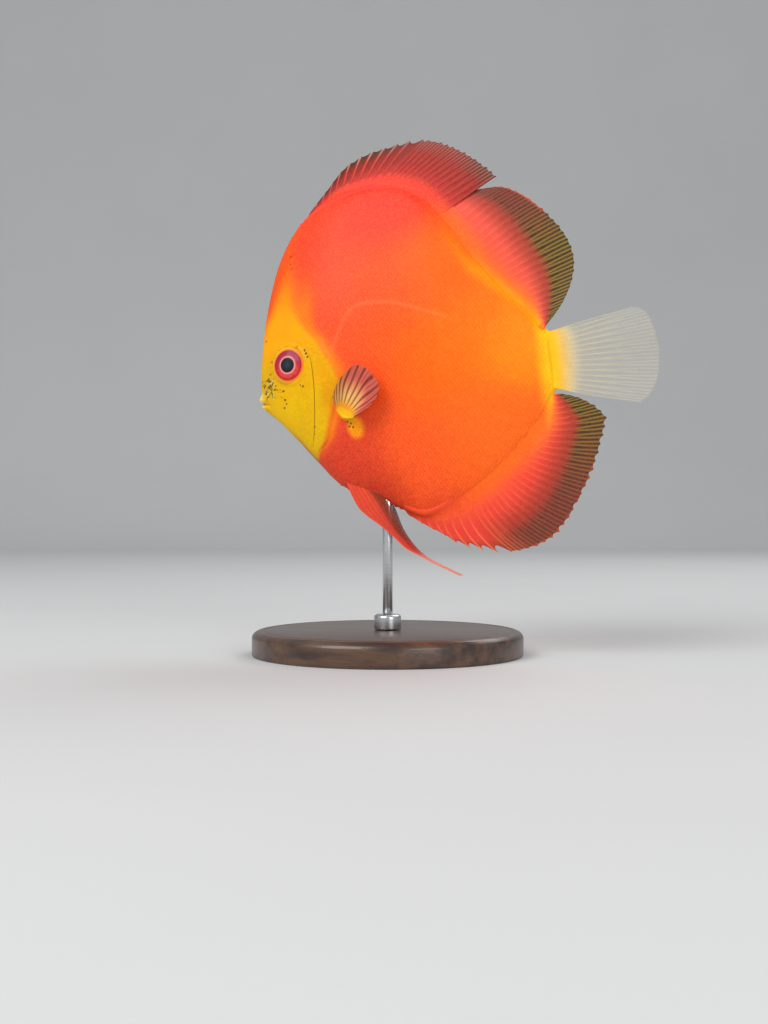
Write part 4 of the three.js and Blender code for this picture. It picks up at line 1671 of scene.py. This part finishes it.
def anal_margin(fin: Fin, u: Array, v: Array, ridge: Array) -> Array:
    """Shade the anal fin: red with orange spine tips in front, a striped margin behind."""
    look = fin.look
    front = blend(look.foot, look.middle, smooth(0.05, 0.5, v))
    front = blend(front, look.margin, 0.8 * smooth(0.66, 0.92, v))
    tips = blend(look.ray, look.ray_tip, smooth(0.75, 1.0, v))
    front = blend(front, tips, 0.8 * ridge * smooth(0.12, 0.6, v))
    rear = striped_margin(fin, u, v, ridge)
    return blend(front, rear, smooth(fin.spiny_share - 0.06, fin.spiny_share + 0.10, u))


@dataclass
class Fins:
    """All the fins, each with its outline, rays and colours."""

    coat: ScaleCoat
    skin: bpy.types.Material

    def dorsal_front(self) -> Fin:
        """Give the front dorsal fin: spines first, then soft rays that stand past the split."""
        look = FinLook(foot=(208, 48, 42), middle=(150, 34, 34), margin=(62, 26, 20),
                       ray=(240, 76, 50), ray_tip=(216, 176, 156), cover_edge=0.82)
        return Fin(
            "dorsal_front", foot_along(BODY.back, 29.2, 87.3, 1),
            Spline(((30.2, 74.9), (35.7, 79.8), (40.7, 84.0), (45.9, 88.8), (52, 92.4),
                    (60, 94.6), (70, 95.6), (79.5, 95.6), (88, 93.2), (96, 88.8),
                    (104, 82.2), (111.7, 74.0))),
            lambda u: 0.03 - 0.02 * u ** 4, look, spines=11, rays=13, spiny_share=0.62,
            notch=0.07, soft_notch=0.015, ray_height=0.22, shade=spiny_margin, seed=5,
            ragged=0.025, foot_half=1.2, foot_rear=1.15, root_depth=3.2)

    def dorsal_rear(self) -> Fin:
        """Give the rear dorsal fin: soft rays only, stepped aside where it meets the front."""
        look = FinLook(foot=(250, 86, 50), middle=(238, 80, 64), ray=(248, 116, 84),
                       ray_tip=(206, 84, 60), cover_edge=0.86)
        return Fin(
            "dorsal_rear", foot_along(BODY.back, 85.6, 122.6, 1),
            Spline(((103.4, 70.4), (112, 69.6), (117.8, 66.9), (123.3, 62.4), (128.7, 56.6),
                    (134, 49), (137.2, 41.4), (137.6, 34.0), (135.2, 26.0), (130.4, 18.6),
                    (124.8, 13.0))),
            lambda u: 0.08 * (1.0 - u) ** 2, look, spines=0, rays=25, seed=6,
            ragged=0.012, soft_notch=0.01, side_step=0.45, shade=striped_margin,
            foot_half=1.2, foot_rear=1.05, root_depth=3.2)

    def anal(self) -> Fin:
        """Give the anal fin: short spines that grow longer, then a deep soft lobe."""
        look = FinLook(foot=(250, 84, 50), middle=(232, 62, 50), margin=(150, 46, 36),
                       ray=(254, 120, 70), ray_tip=(250, 150, 90), cover_edge=0.84)
        return Fin(
            "anal", foot_along(BODY.belly, 57.4, 123.2, -1, 0.813),
            Spline(((58.6, -54.9), (65.9, -60.3), (73.2, -65.0), (78, -68.8), (85, -71.6),
                    (92.3, -73.6), (99, -74.4), (106, -74.0), (113, -72.0), (119, -68.8),
                    (125.5, -61.8), (132, -52.2), (137.6, -41.8), (141.6, -31.4),
                    (142.6, -25.4), (134.6, -18.6), (126.8, -15.4))),
            lambda u: -0.10 * smooth(0.75, 0.1, u) - 0.02, look, spines=8, rays=26,
            spiny_share=0.34, seed=9, ragged=0.03, notch=0.15, soft_notch=0.012,
            ray_height=0.2, shade=anal_margin, out=50, foot_half=1.6, foot_rear=1.05,
            root_depth=3.2)

    def caudal(self) -> Fin:
        """Give the tail fin: a nearly clear fan."""
        look = FinLook(foot=(255, 206, 36), middle=(236, 220, 158), margin=(206, 202, 178),
                       ray=(240, 222, 160), ray_tip=(208, 200, 170), cover_edge=0.08,
                       clears=(0.0, 0.30), ray_cover=0.20)
        return Fin(
            "caudal", Spline(((124.4, 9.2), (124.7, -2), (124.4, -13.0))),
            Spline(((158, 13.6), (163, 10.6), (165.4, 3), (166, -5), (164.6, -13),
                    (161.4, -20), (156.6, -23.6))),
            lambda u: 0.02 * (0.5 - u), look, spines=0, rays=15, seed=10,
            slot=Membrane.CLEAR, shade=clear_fan, foot_half=1.2, foot_rear=1.2,
            ragged=0.012, wave=0.7)

    def pectoral(self, side: Side) -> Fin:
        """Give one pectoral fin: a fan that stands away from the flank, cupped a little."""
        look = FinLook(foot=(250, 196, 30), middle=(84, 24, 16), ray=(246, 190, 112),
                       cover_edge=0.86)

        def drape(sheet: Array, u: Array, v: Array) -> Array:
            """Stand the fan off the body, further along each ray, with a shallow cup."""
            cup = 1.1 * np.sin(np.pi * u) * v * (1.0 - 0.4 * v)
            sheet[..., 1] += side.value * (12.5 + 6.6 * v - cup)
            return sheet

        return Fin(
            f"pectoral_{side.word}", Spline(((37.8, -8.8), (40.6, -11.8), (44.0, -13.8))),
            Spline(((38.8, -4.4), (41.9, 1.2), (46.8, 5.6), (51.2, 7.0), (55.2, 5.0),
                    (58.2, 0.4), (59.2, -2.6), (57.4, -7.6), (53.0, -11.4), (47.2, -13.8))),
            lambda u: 0.10 - 0.13 * u, look, spines=0, rays=12, seed=12, foot_half=0.8,
            foot_rear=0.8, edge_half=0.12, ray_height=0.22, root_depth=1.4, wave=0.25,
            ragged=0.05, soft_notch=0.02, drape=drape, shade=fan_stripes)

    def pelvic(self, side: Side) -> Fin:
        """Give one pelvic fin: a blade between two edges that runs out into a thread."""
        look = FinLook(foot=(218, 60, 40), middle=(192, 46, 42), margin=(104, 50, 32),
                       ray=(252, 118, 74), cover_edge=0.55, clears=(0.55, 0.9))

        def drape(sheet: Array, u: Array, v: Array) -> Array:
            """Stand the blade off the middle plane, nearer to it towards the tip."""
            sheet[..., 1] += side.value * (2.9 - 1.5 * u)
            return sheet

        return Fin(
            f"pelvic_{side.word}",
            Spline(((34.4, -37.8), (35.3, -41.6), (38.2, -48.8), (41.6, -52.9), (46.4, -57.2),
                    (51.0, -61.8), (55.8, -67.4), (60.6, -70.9), (66.5, -74.8), (72.3, -78.3),
                    (77.4, -81.3))),
            Spline(((46.4, -42.6), (50.2, -47.4), (52.2, -51.8), (53.4, -56.0), (54.8, -60.2),
                    (56.9, -64.2), (59.4, -67.9), (62.4, -71.2), (66.9, -74.5), (72.6, -78.0),
                    (77.6, -81.0))),
            lambda u: 0.0 * u, look, spines=0, rays=20, seed=13, foot_half=0.55, foot_rear=0.55,
            ray_height=0.0, root_depth=0.0, wave=0.0, ragged=0.0, drape=drape,
            shade=thread_stripes, samples=6, out=30)

    def build(self) -> None:
        """Build every fin, and the scales on the feet of the long ones."""
        red = FinFinish("fin_membrane").build()
        clear = FinFinish("fin_clear_membrane").build()
        scaled = ((self.dorsal_front(), ("dorsal_fin_front",)),
                  (self.dorsal_rear(), ("dorsal_fin_rear",)),
                  (self.anal(), ("anal_fin_front", "anal_fin_rear")))
        for fin, nodes in scaled:
            fin.build(nodes, red)
            self.coat.feet(fin, self.skin)
        self.caudal().build(("caudal_fin",), clear)
        for side in Side:
            self.pectoral(side).build((f"pectoral_fin_{side.word}",), red)
            self.pelvic(side).build((f"pelvic_fin_{side.word}",), red)


def clear_fan(fin: Fin, u: Array, v: Array, ridge: Array) -> Array:
    """Shade the tail fin: yellow at its foot, then soon a pale and nearly clear film."""
    look = fin.look
    film = blend(look.foot, look.middle, smooth(0.0, 0.11, v))
    film = blend(film, look.margin, smooth(0.25, 0.7, v))
    rays = blend(look.ray, look.ray_tip, smooth(0.3, 0.9, v))
    return blend(film, rays, 0.8 * ridge * smooth(0.06, 0.2, v))


def fan_stripes(fin: Fin, u: Array, v: Array, ridge: Array) -> Array:
    """Shade a pectoral fin: broad pale rays, yellow at the foot, and dark membranes."""
    look = fin.look
    phase = fin.phase(u)
    phase = phase + 0.16 * np.sin(5.0 * v + 1.7 * phase) * smooth(0.2, 0.7, v)
    off = np.abs(phase - np.round(phase))
    line = bell(0.5 - off, 0.15 + 0.05 * v) * smooth(0.10, 0.26, v)
    line = np.maximum(line, 0.7 * bell(off, 0.07) * smooth(0.50, 0.72, v) * smooth(0.2, 0.5, u))
    line = np.maximum(line, smooth(0.012, 0.0, u))
    ray = blend(look.foot, look.ray, smooth(0.10, 0.36, v))
    pink = smooth(0.30, 0.75, v) * smooth(0.10, 0.35, u) + 0.8 * smooth(0.55, 0.8, u)
    ray = blend(ray, FAN_PINK, np.clip(pink, 0.0, 1.0) * smooth(0.10, 0.4, v))
    return blend(ray, look.middle, 0.92 * line)


def thread_stripes(fin: Fin, u: Array, v: Array, ridge: Array) -> Array:
    """Shade a pelvic fin: red, orange along its front edge, dusky along its rear edge."""
    look = fin.look
    body = blend(look.foot, look.middle, smooth(0.1, 0.5, u))
    streak = bell(np.abs(np.mod(v * 7.0, 1.0) - 0.5), 0.16)
    body = blend(body, look.ray, 0.30 * streak)
    body = blend(body, look.margin, 0.75 * smooth(0.55, 0.85, v) * smooth(0.62, 0.4, u))
    body = blend(body, look.ray, 0.9 * smooth(0.16, 0.03, v))
    return blend(body, THREAD_PALE, 0.6 * smooth(0.58, 0.75, u))


@dataclass
class Eye:
    """An eyeball turned on its own axis, with its rings of colour."""

    side: Side
    rings: int = 72
    spokes: int = 96
    tilt: float = 0.08
    level: float = 0.30
    spread: float = 1.21
    zoom: float = 1.15
    outline: Points = (
        (0.0, 1.62), (1.5, 1.56), (3.0, 1.36), (4.4, 0.98), (5.4, 0.58), (6.15, 0.06),
        (6.6, -0.7), (6.6, -1.6), (5.8, -3.2), (3.8, -4.4), (0.0, -5.0))
    pupil: Colour = (30, 32, 38)
    # Blue-grey of the painted reflection in the middle of the pupil.
    pupil_reflection: Colour = (58, 62, 74)
    pupil_rim: Colour = (40, 10, 14)
    pale_ring: Colour = (232, 160, 150)
    iris_top: Colour = (166, 40, 74)
    iris_low: Colour = (224, 48, 44)
    # Bright red of the painted highlight in the lower iris.
    iris_highlight: Colour = (246, 78, 58)
    iris_inner: Colour = (226, 96, 100)
    iris_outer: Colour = (140, 24, 40)
    orange_ring: Colour = (246, 128, 44)
    yellow_ring: Colour = (232, 176, 24)

    def profile(self) -> tuple[Array, Array]:
        """Give radius and height from the front pole over the rim to the back pole."""
        radius, height = np.array(self.outline).T
        line = Spline(tuple(zip(radius * self.spread, height)))
        turned = line(np.linspace(0.0, 1.0, self.rings))
        return np.maximum(turned[:, 0], 0.0), turned[:, 1]

    def build(self, finish: bpy.types.Material) -> bpy.types.Object:
        """Build the eyeball by turning its profile round the eye's axis.

        Args:
            finish: the eye's material.

        Returns:
            The piece.
        """
        radius, height = self.profile()
        turn = 2.0 * np.pi * np.arange(self.spokes) / self.spokes
        axis = unit(np.array([-self.tilt, self.side.value, 0.02]))
        up = unit(np.array([0.0, 0.0, 1.0]) - axis * axis[2])
        right = np.cross(up, axis)
        eye_x, eye_z = np.array(HEAD.eye)[:, None]
        level = float(BODY.half(eye_x, BODY.share_at(eye_x, eye_z))[0]) + self.level
        centre = np.array([HEAD.eye[0], self.side.value * level, HEAD.eye[1]])
        spoke = np.cos(turn)[:, None] * right + np.sin(turn)[:, None] * up
        points = centre + radius[:, None, None] * spoke + height[:, None, None] * axis
        every = np.vstack([points[1:-1].reshape(-1, 3), points[0, 0], points[-1, 0]])
        faces = outward(every, tube_faces(self.rings - 2, self.spokes))
        r = np.concatenate([np.repeat(radius[1:-1], self.spokes), [0.0, 0.0]]) / self.zoom
        angle = np.concatenate([np.tile(turn, self.rings - 2), [0.0, 0.0]])
        data = MeshData(FISH.to_world(every), faces, colours=self.rings_of_colour(r, angle),
                        numbers={"iris": smooth(3.2, 3.6, r) * smooth(5.6, 5.2, r)})
        return present(data.to_object(f"eyeball_{self.side.word}", finish),
                       (f"eye_{self.side.word}",))

    def rings_of_colour(self, r: Array, angle: Array) -> Array:
        """Give the colours by radius: pupil with a painted reflection in its middle, pale ring,
        iris with a painted highlight low down, dark line and orange ring.

        Args:
            r: distances from the eye's axis.
            angle: turns round it.

        Returns:
            Linear red, green and blue for each place.
        """
        low = 0.5 - 0.5 * np.sin(angle)
        # Painted reflection: the pupil turns lighter blue-grey towards its middle.
        pupil = blend(self.pupil, self.pupil_reflection, smooth(2.0, 0.4, r) * 0.5)
        pupil = blend(pupil, self.pupil_rim, smooth(2.1, 2.5, r))
        iris = blend(self.iris_top, self.iris_low, smooth(0.15, 0.85, low))
        # Painted highlight: a brighter red band through the lower half of the iris.
        iris = blend(iris, self.iris_highlight, 0.75 * bell(r - 3.9, 0.7) * smooth(0.4, 1.0, low))
        iris = blend(iris, self.iris_inner, 0.5 * bell(r - 3.25, 0.4))
        iris = blend(iris, self.iris_outer, 0.75 * smooth(4.5, 5.3, r))
        colour = blend(pupil, self.pale_ring, smooth(2.66, 2.84, r))
        colour = blend(colour, iris, smooth(3.0, 3.3, r))
        colour = blend(colour, self.orange_ring, smooth(5.3, 5.55, r))
        return blend(colour, self.yellow_ring, smooth(5.85, 6.1, r))


@dataclass
class Stand:
    """The plain display stand: turned wooden base, steel collar and rod."""

    spokes: int = 160
    corner_gap: float = 0.05
    gap_share: float = 0.3
    axis_gap: Pair = (0.02, 0.0)
    base: Points = (
        (0.0, 0.0), (54.4, 0.0), (54.9, 0.25), (55.0, 0.7), (55.0, 7.4), (54.6, 8.4),
        (53.8, 9.2), (52.6, 9.8), (51.2, 10.0), (50.6, 9.7), (50.0, 9.7), (49.4, 10.0),
        (0.0, 10.0))
    rod: Points = (
        (0.0, 10.3), (2.0, 10.3), (2.0, 66.0), (1.7, 66.3), (0.0, 66.3))
    collar: Points = (
        (2.3, 10.3), (5.2, 10.3), (5.5, 10.6), (5.5, 15.2), (5.3, 15.8), (4.7, 16.3),
        (2.6, 16.3), (2.3, 16.0), (2.3, 10.3))

    def turned(self, profile: Points, closed: bool) -> MeshData:
        """Turn a profile of (radius, height) round the upright axis, with crisp corners.

        Every corner of the profile is doubled a twentieth of a millimetre away, so that the
        smooth shading stays within each face.

        Args:
            profile: radius and height of each corner, in millimetres.
            closed: whether the profile is a loop off the axis.

        Returns:
            The mesh, in metres.
        """
        table = np.array(profile)
        steps = np.diff(table, axis=0)
        length = np.linalg.norm(steps, axis=1, keepdims=True)
        near = np.minimum(self.corner_gap, length * self.gap_share) * steps / length
        starts, ends = table[:-1] + near, table[1:] - near
        rows = np.stack([starts, ends], axis=1).reshape(-1, 2)
        if not closed:
            rows = np.vstack([table[0] + self.axis_gap, rows, table[-1] + self.axis_gap])
        turn = 2.0 * np.pi * np.arange(self.spokes) / self.spokes
        circle = np.stack([np.cos(turn), np.sin(turn)], axis=-1)
        flat = rows[:, None, :1] * circle[None]
        tall = np.repeat(rows[:, None, 1:], self.spokes, axis=1)
        points = np.concatenate([flat, tall], axis=-1).reshape(-1, 3)
        if closed:
            ring = np.arange(self.spokes)
            after, last = np.roll(ring, -1), (len(rows) - 1) * self.spokes
            seam = np.stack([last + ring, last + after, after, ring], axis=1)
            faces = [grid_faces(len(rows), self.spokes, wrap=True), seam]
        else:
            points = np.vstack([points, (0.0, 0.0, rows[0, 1]), (0.0, 0.0, rows[-1, 1])])
            faces = tube_faces(len(rows), self.spokes)
        return MeshData(points / 1000.0, outward(points, faces))

    def build(self) -> None:
        """Build and dress the three pieces."""
        wood, steel = WoodFinish().build(), SteelFinish().build()
        base = self.turned(self.base, closed=False).to_object("stand_plinth", wood)
        present(base, ("stand_base",))
        rod = self.turned(self.rod, closed=False).to_object("stand_post", steel)
        present(rod, ("stand_rod",))
        collar = self.turned(self.collar, closed=True).to_object("stand_ferrule", steel)
        present(collar, ("stand_collar",))


@dataclass(frozen=True)
class Lamp:
    """A square soft light: its name, its place and width in metres, and its power in watts."""

    name: str
    place: Triple
    width: float
    power: float


@dataclass
class Studio:
    """Camera at the photo's viewing angle, pale paper sweep and soft lights."""

    camera_mm: Triple = (188.83, -523.16, 57.87)
    azimuth: float = math.radians(20.0)
    focal_px: float = 1368.0
    frame_height_px: float = 1024.0
    sensor_mm: float = 36.0
    paper_behind: float = 1.5
    paper_bend: float = 0.55
    paper_high: float = 2.4
    paper_front: float = 12.0
    paper_wide: float = 12.0
    paper_arc: int = 25
    lamps: tuple[Lamp, ...] = (
        Lamp("key", (-0.45, -1.10, 0.95), 0.9, 13.8),
        Lamp("fill", (1.05, -0.85, 0.42), 0.6, 5.0),
        Lamp("rim", (0.35, 0.85, 1.05), 0.8, 5.6))
    lamps_face: Triple = (0.0, 0.0, 0.11)
    sky: Triple = (0.92, 0.95, 1.0)
    sky_power: float = 0.54

    def build(self) -> None:
        """Set up the camera, paper, lights and background light."""
        self.camera()
        self.paper()
        for lamp in self.lamps:
            self.light(lamp)
        world = bpy.data.worlds.new("studio_light")
        world.use_nodes = True
        background = world.node_tree.nodes["Background"]
        background.inputs["Color"].default_value = (*self.sky, 1.0)
        background.inputs["Strength"].default_value = self.sky_power
        bpy.context.scene.world = world
        bpy.context.scene.view_settings.view_transform = "Standard"

    def camera(self) -> None:
        """Place the level camera that sees the fish as the photo does."""
        data = bpy.data.cameras.new("camera")
        data.lens = self.focal_px / self.frame_height_px * self.sensor_mm
        data.sensor_width = self.sensor_mm
        data.clip_start = 0.01
        made = bpy.data.objects.new("camera", data)
        made.location = [v / 1000.0 for v in self.camera_mm]
        made.rotation_euler = (math.pi / 2.0, 0.0, self.azimuth)
        bpy.context.collection.objects.link(made)
        bpy.context.scene.camera = made

    def paper(self) -> None:
        """Lay a sweep of paper: flat, then a quarter circle, then upright, seen square on."""
        bend = np.linspace(0.0, np.pi / 2.0, self.paper_arc)
        curved = self.paper_behind + self.paper_bend * np.sin(bend)
        deep = np.concatenate([[-self.paper_front], curved, [self.paper_behind + self.paper_bend]])
        tall = np.concatenate([[0.0], self.paper_bend * (1.0 - np.cos(bend)), [self.paper_high]])
        wide = np.array([-self.paper_wide, self.paper_wide])
        cos, sin = math.cos(self.azimuth), math.sin(self.azimuth)
        d, w = np.meshgrid(deep, wide, indexing="ij")
        t = np.repeat(tall[:, None], 2, axis=1)
        points = np.stack([w * cos - d * sin, w * sin + d * cos, t], axis=-1).reshape(-1, 3)
        faces = [grid_faces(len(deep), 2)[:, ::-1]]
        sheet = MeshData(points, faces).to_object("studio_paper", StageFinish().build())

    def light(self, lamp: Lamp) -> None:
        """Hang a lamp so that it faces the fish: pitched from straight down, then turned."""
        data = bpy.data.lights.new(lamp.name, "AREA")
        data.size = lamp.width
        data.energy = lamp.power
        made = bpy.data.objects.new(lamp.name, data)
        made.location = lamp.place
        towards = np.array(self.lamps_face) - np.array(lamp.place)
        pitch = math.atan2(math.hypot(towards[0], towards[1]), -towards[2])
        made.rotation_euler = (pitch, 0.0, math.atan2(-towards[0], towards[1]))
        bpy.context.collection.objects.link(made)


def main() -> None:
    """Build the studio, the fish and its stand."""
    logging.basicConfig(level=logging.INFO, format="%(name)s: %(message)s", stream=sys.stdout)
    Studio().build()
    Stand().build()
    skin = SkinFinish().build()
    Skin().build(skin)
    coat = ScaleCoat()
    eye = EyeFinish().build()
    for side in Side:
        coat.flank(side, skin)
        coat.cheek(side, skin)
        Eye(side).build(eye)
    Fins(coat, skin).build()


if __name__ == "__main__":
    main()
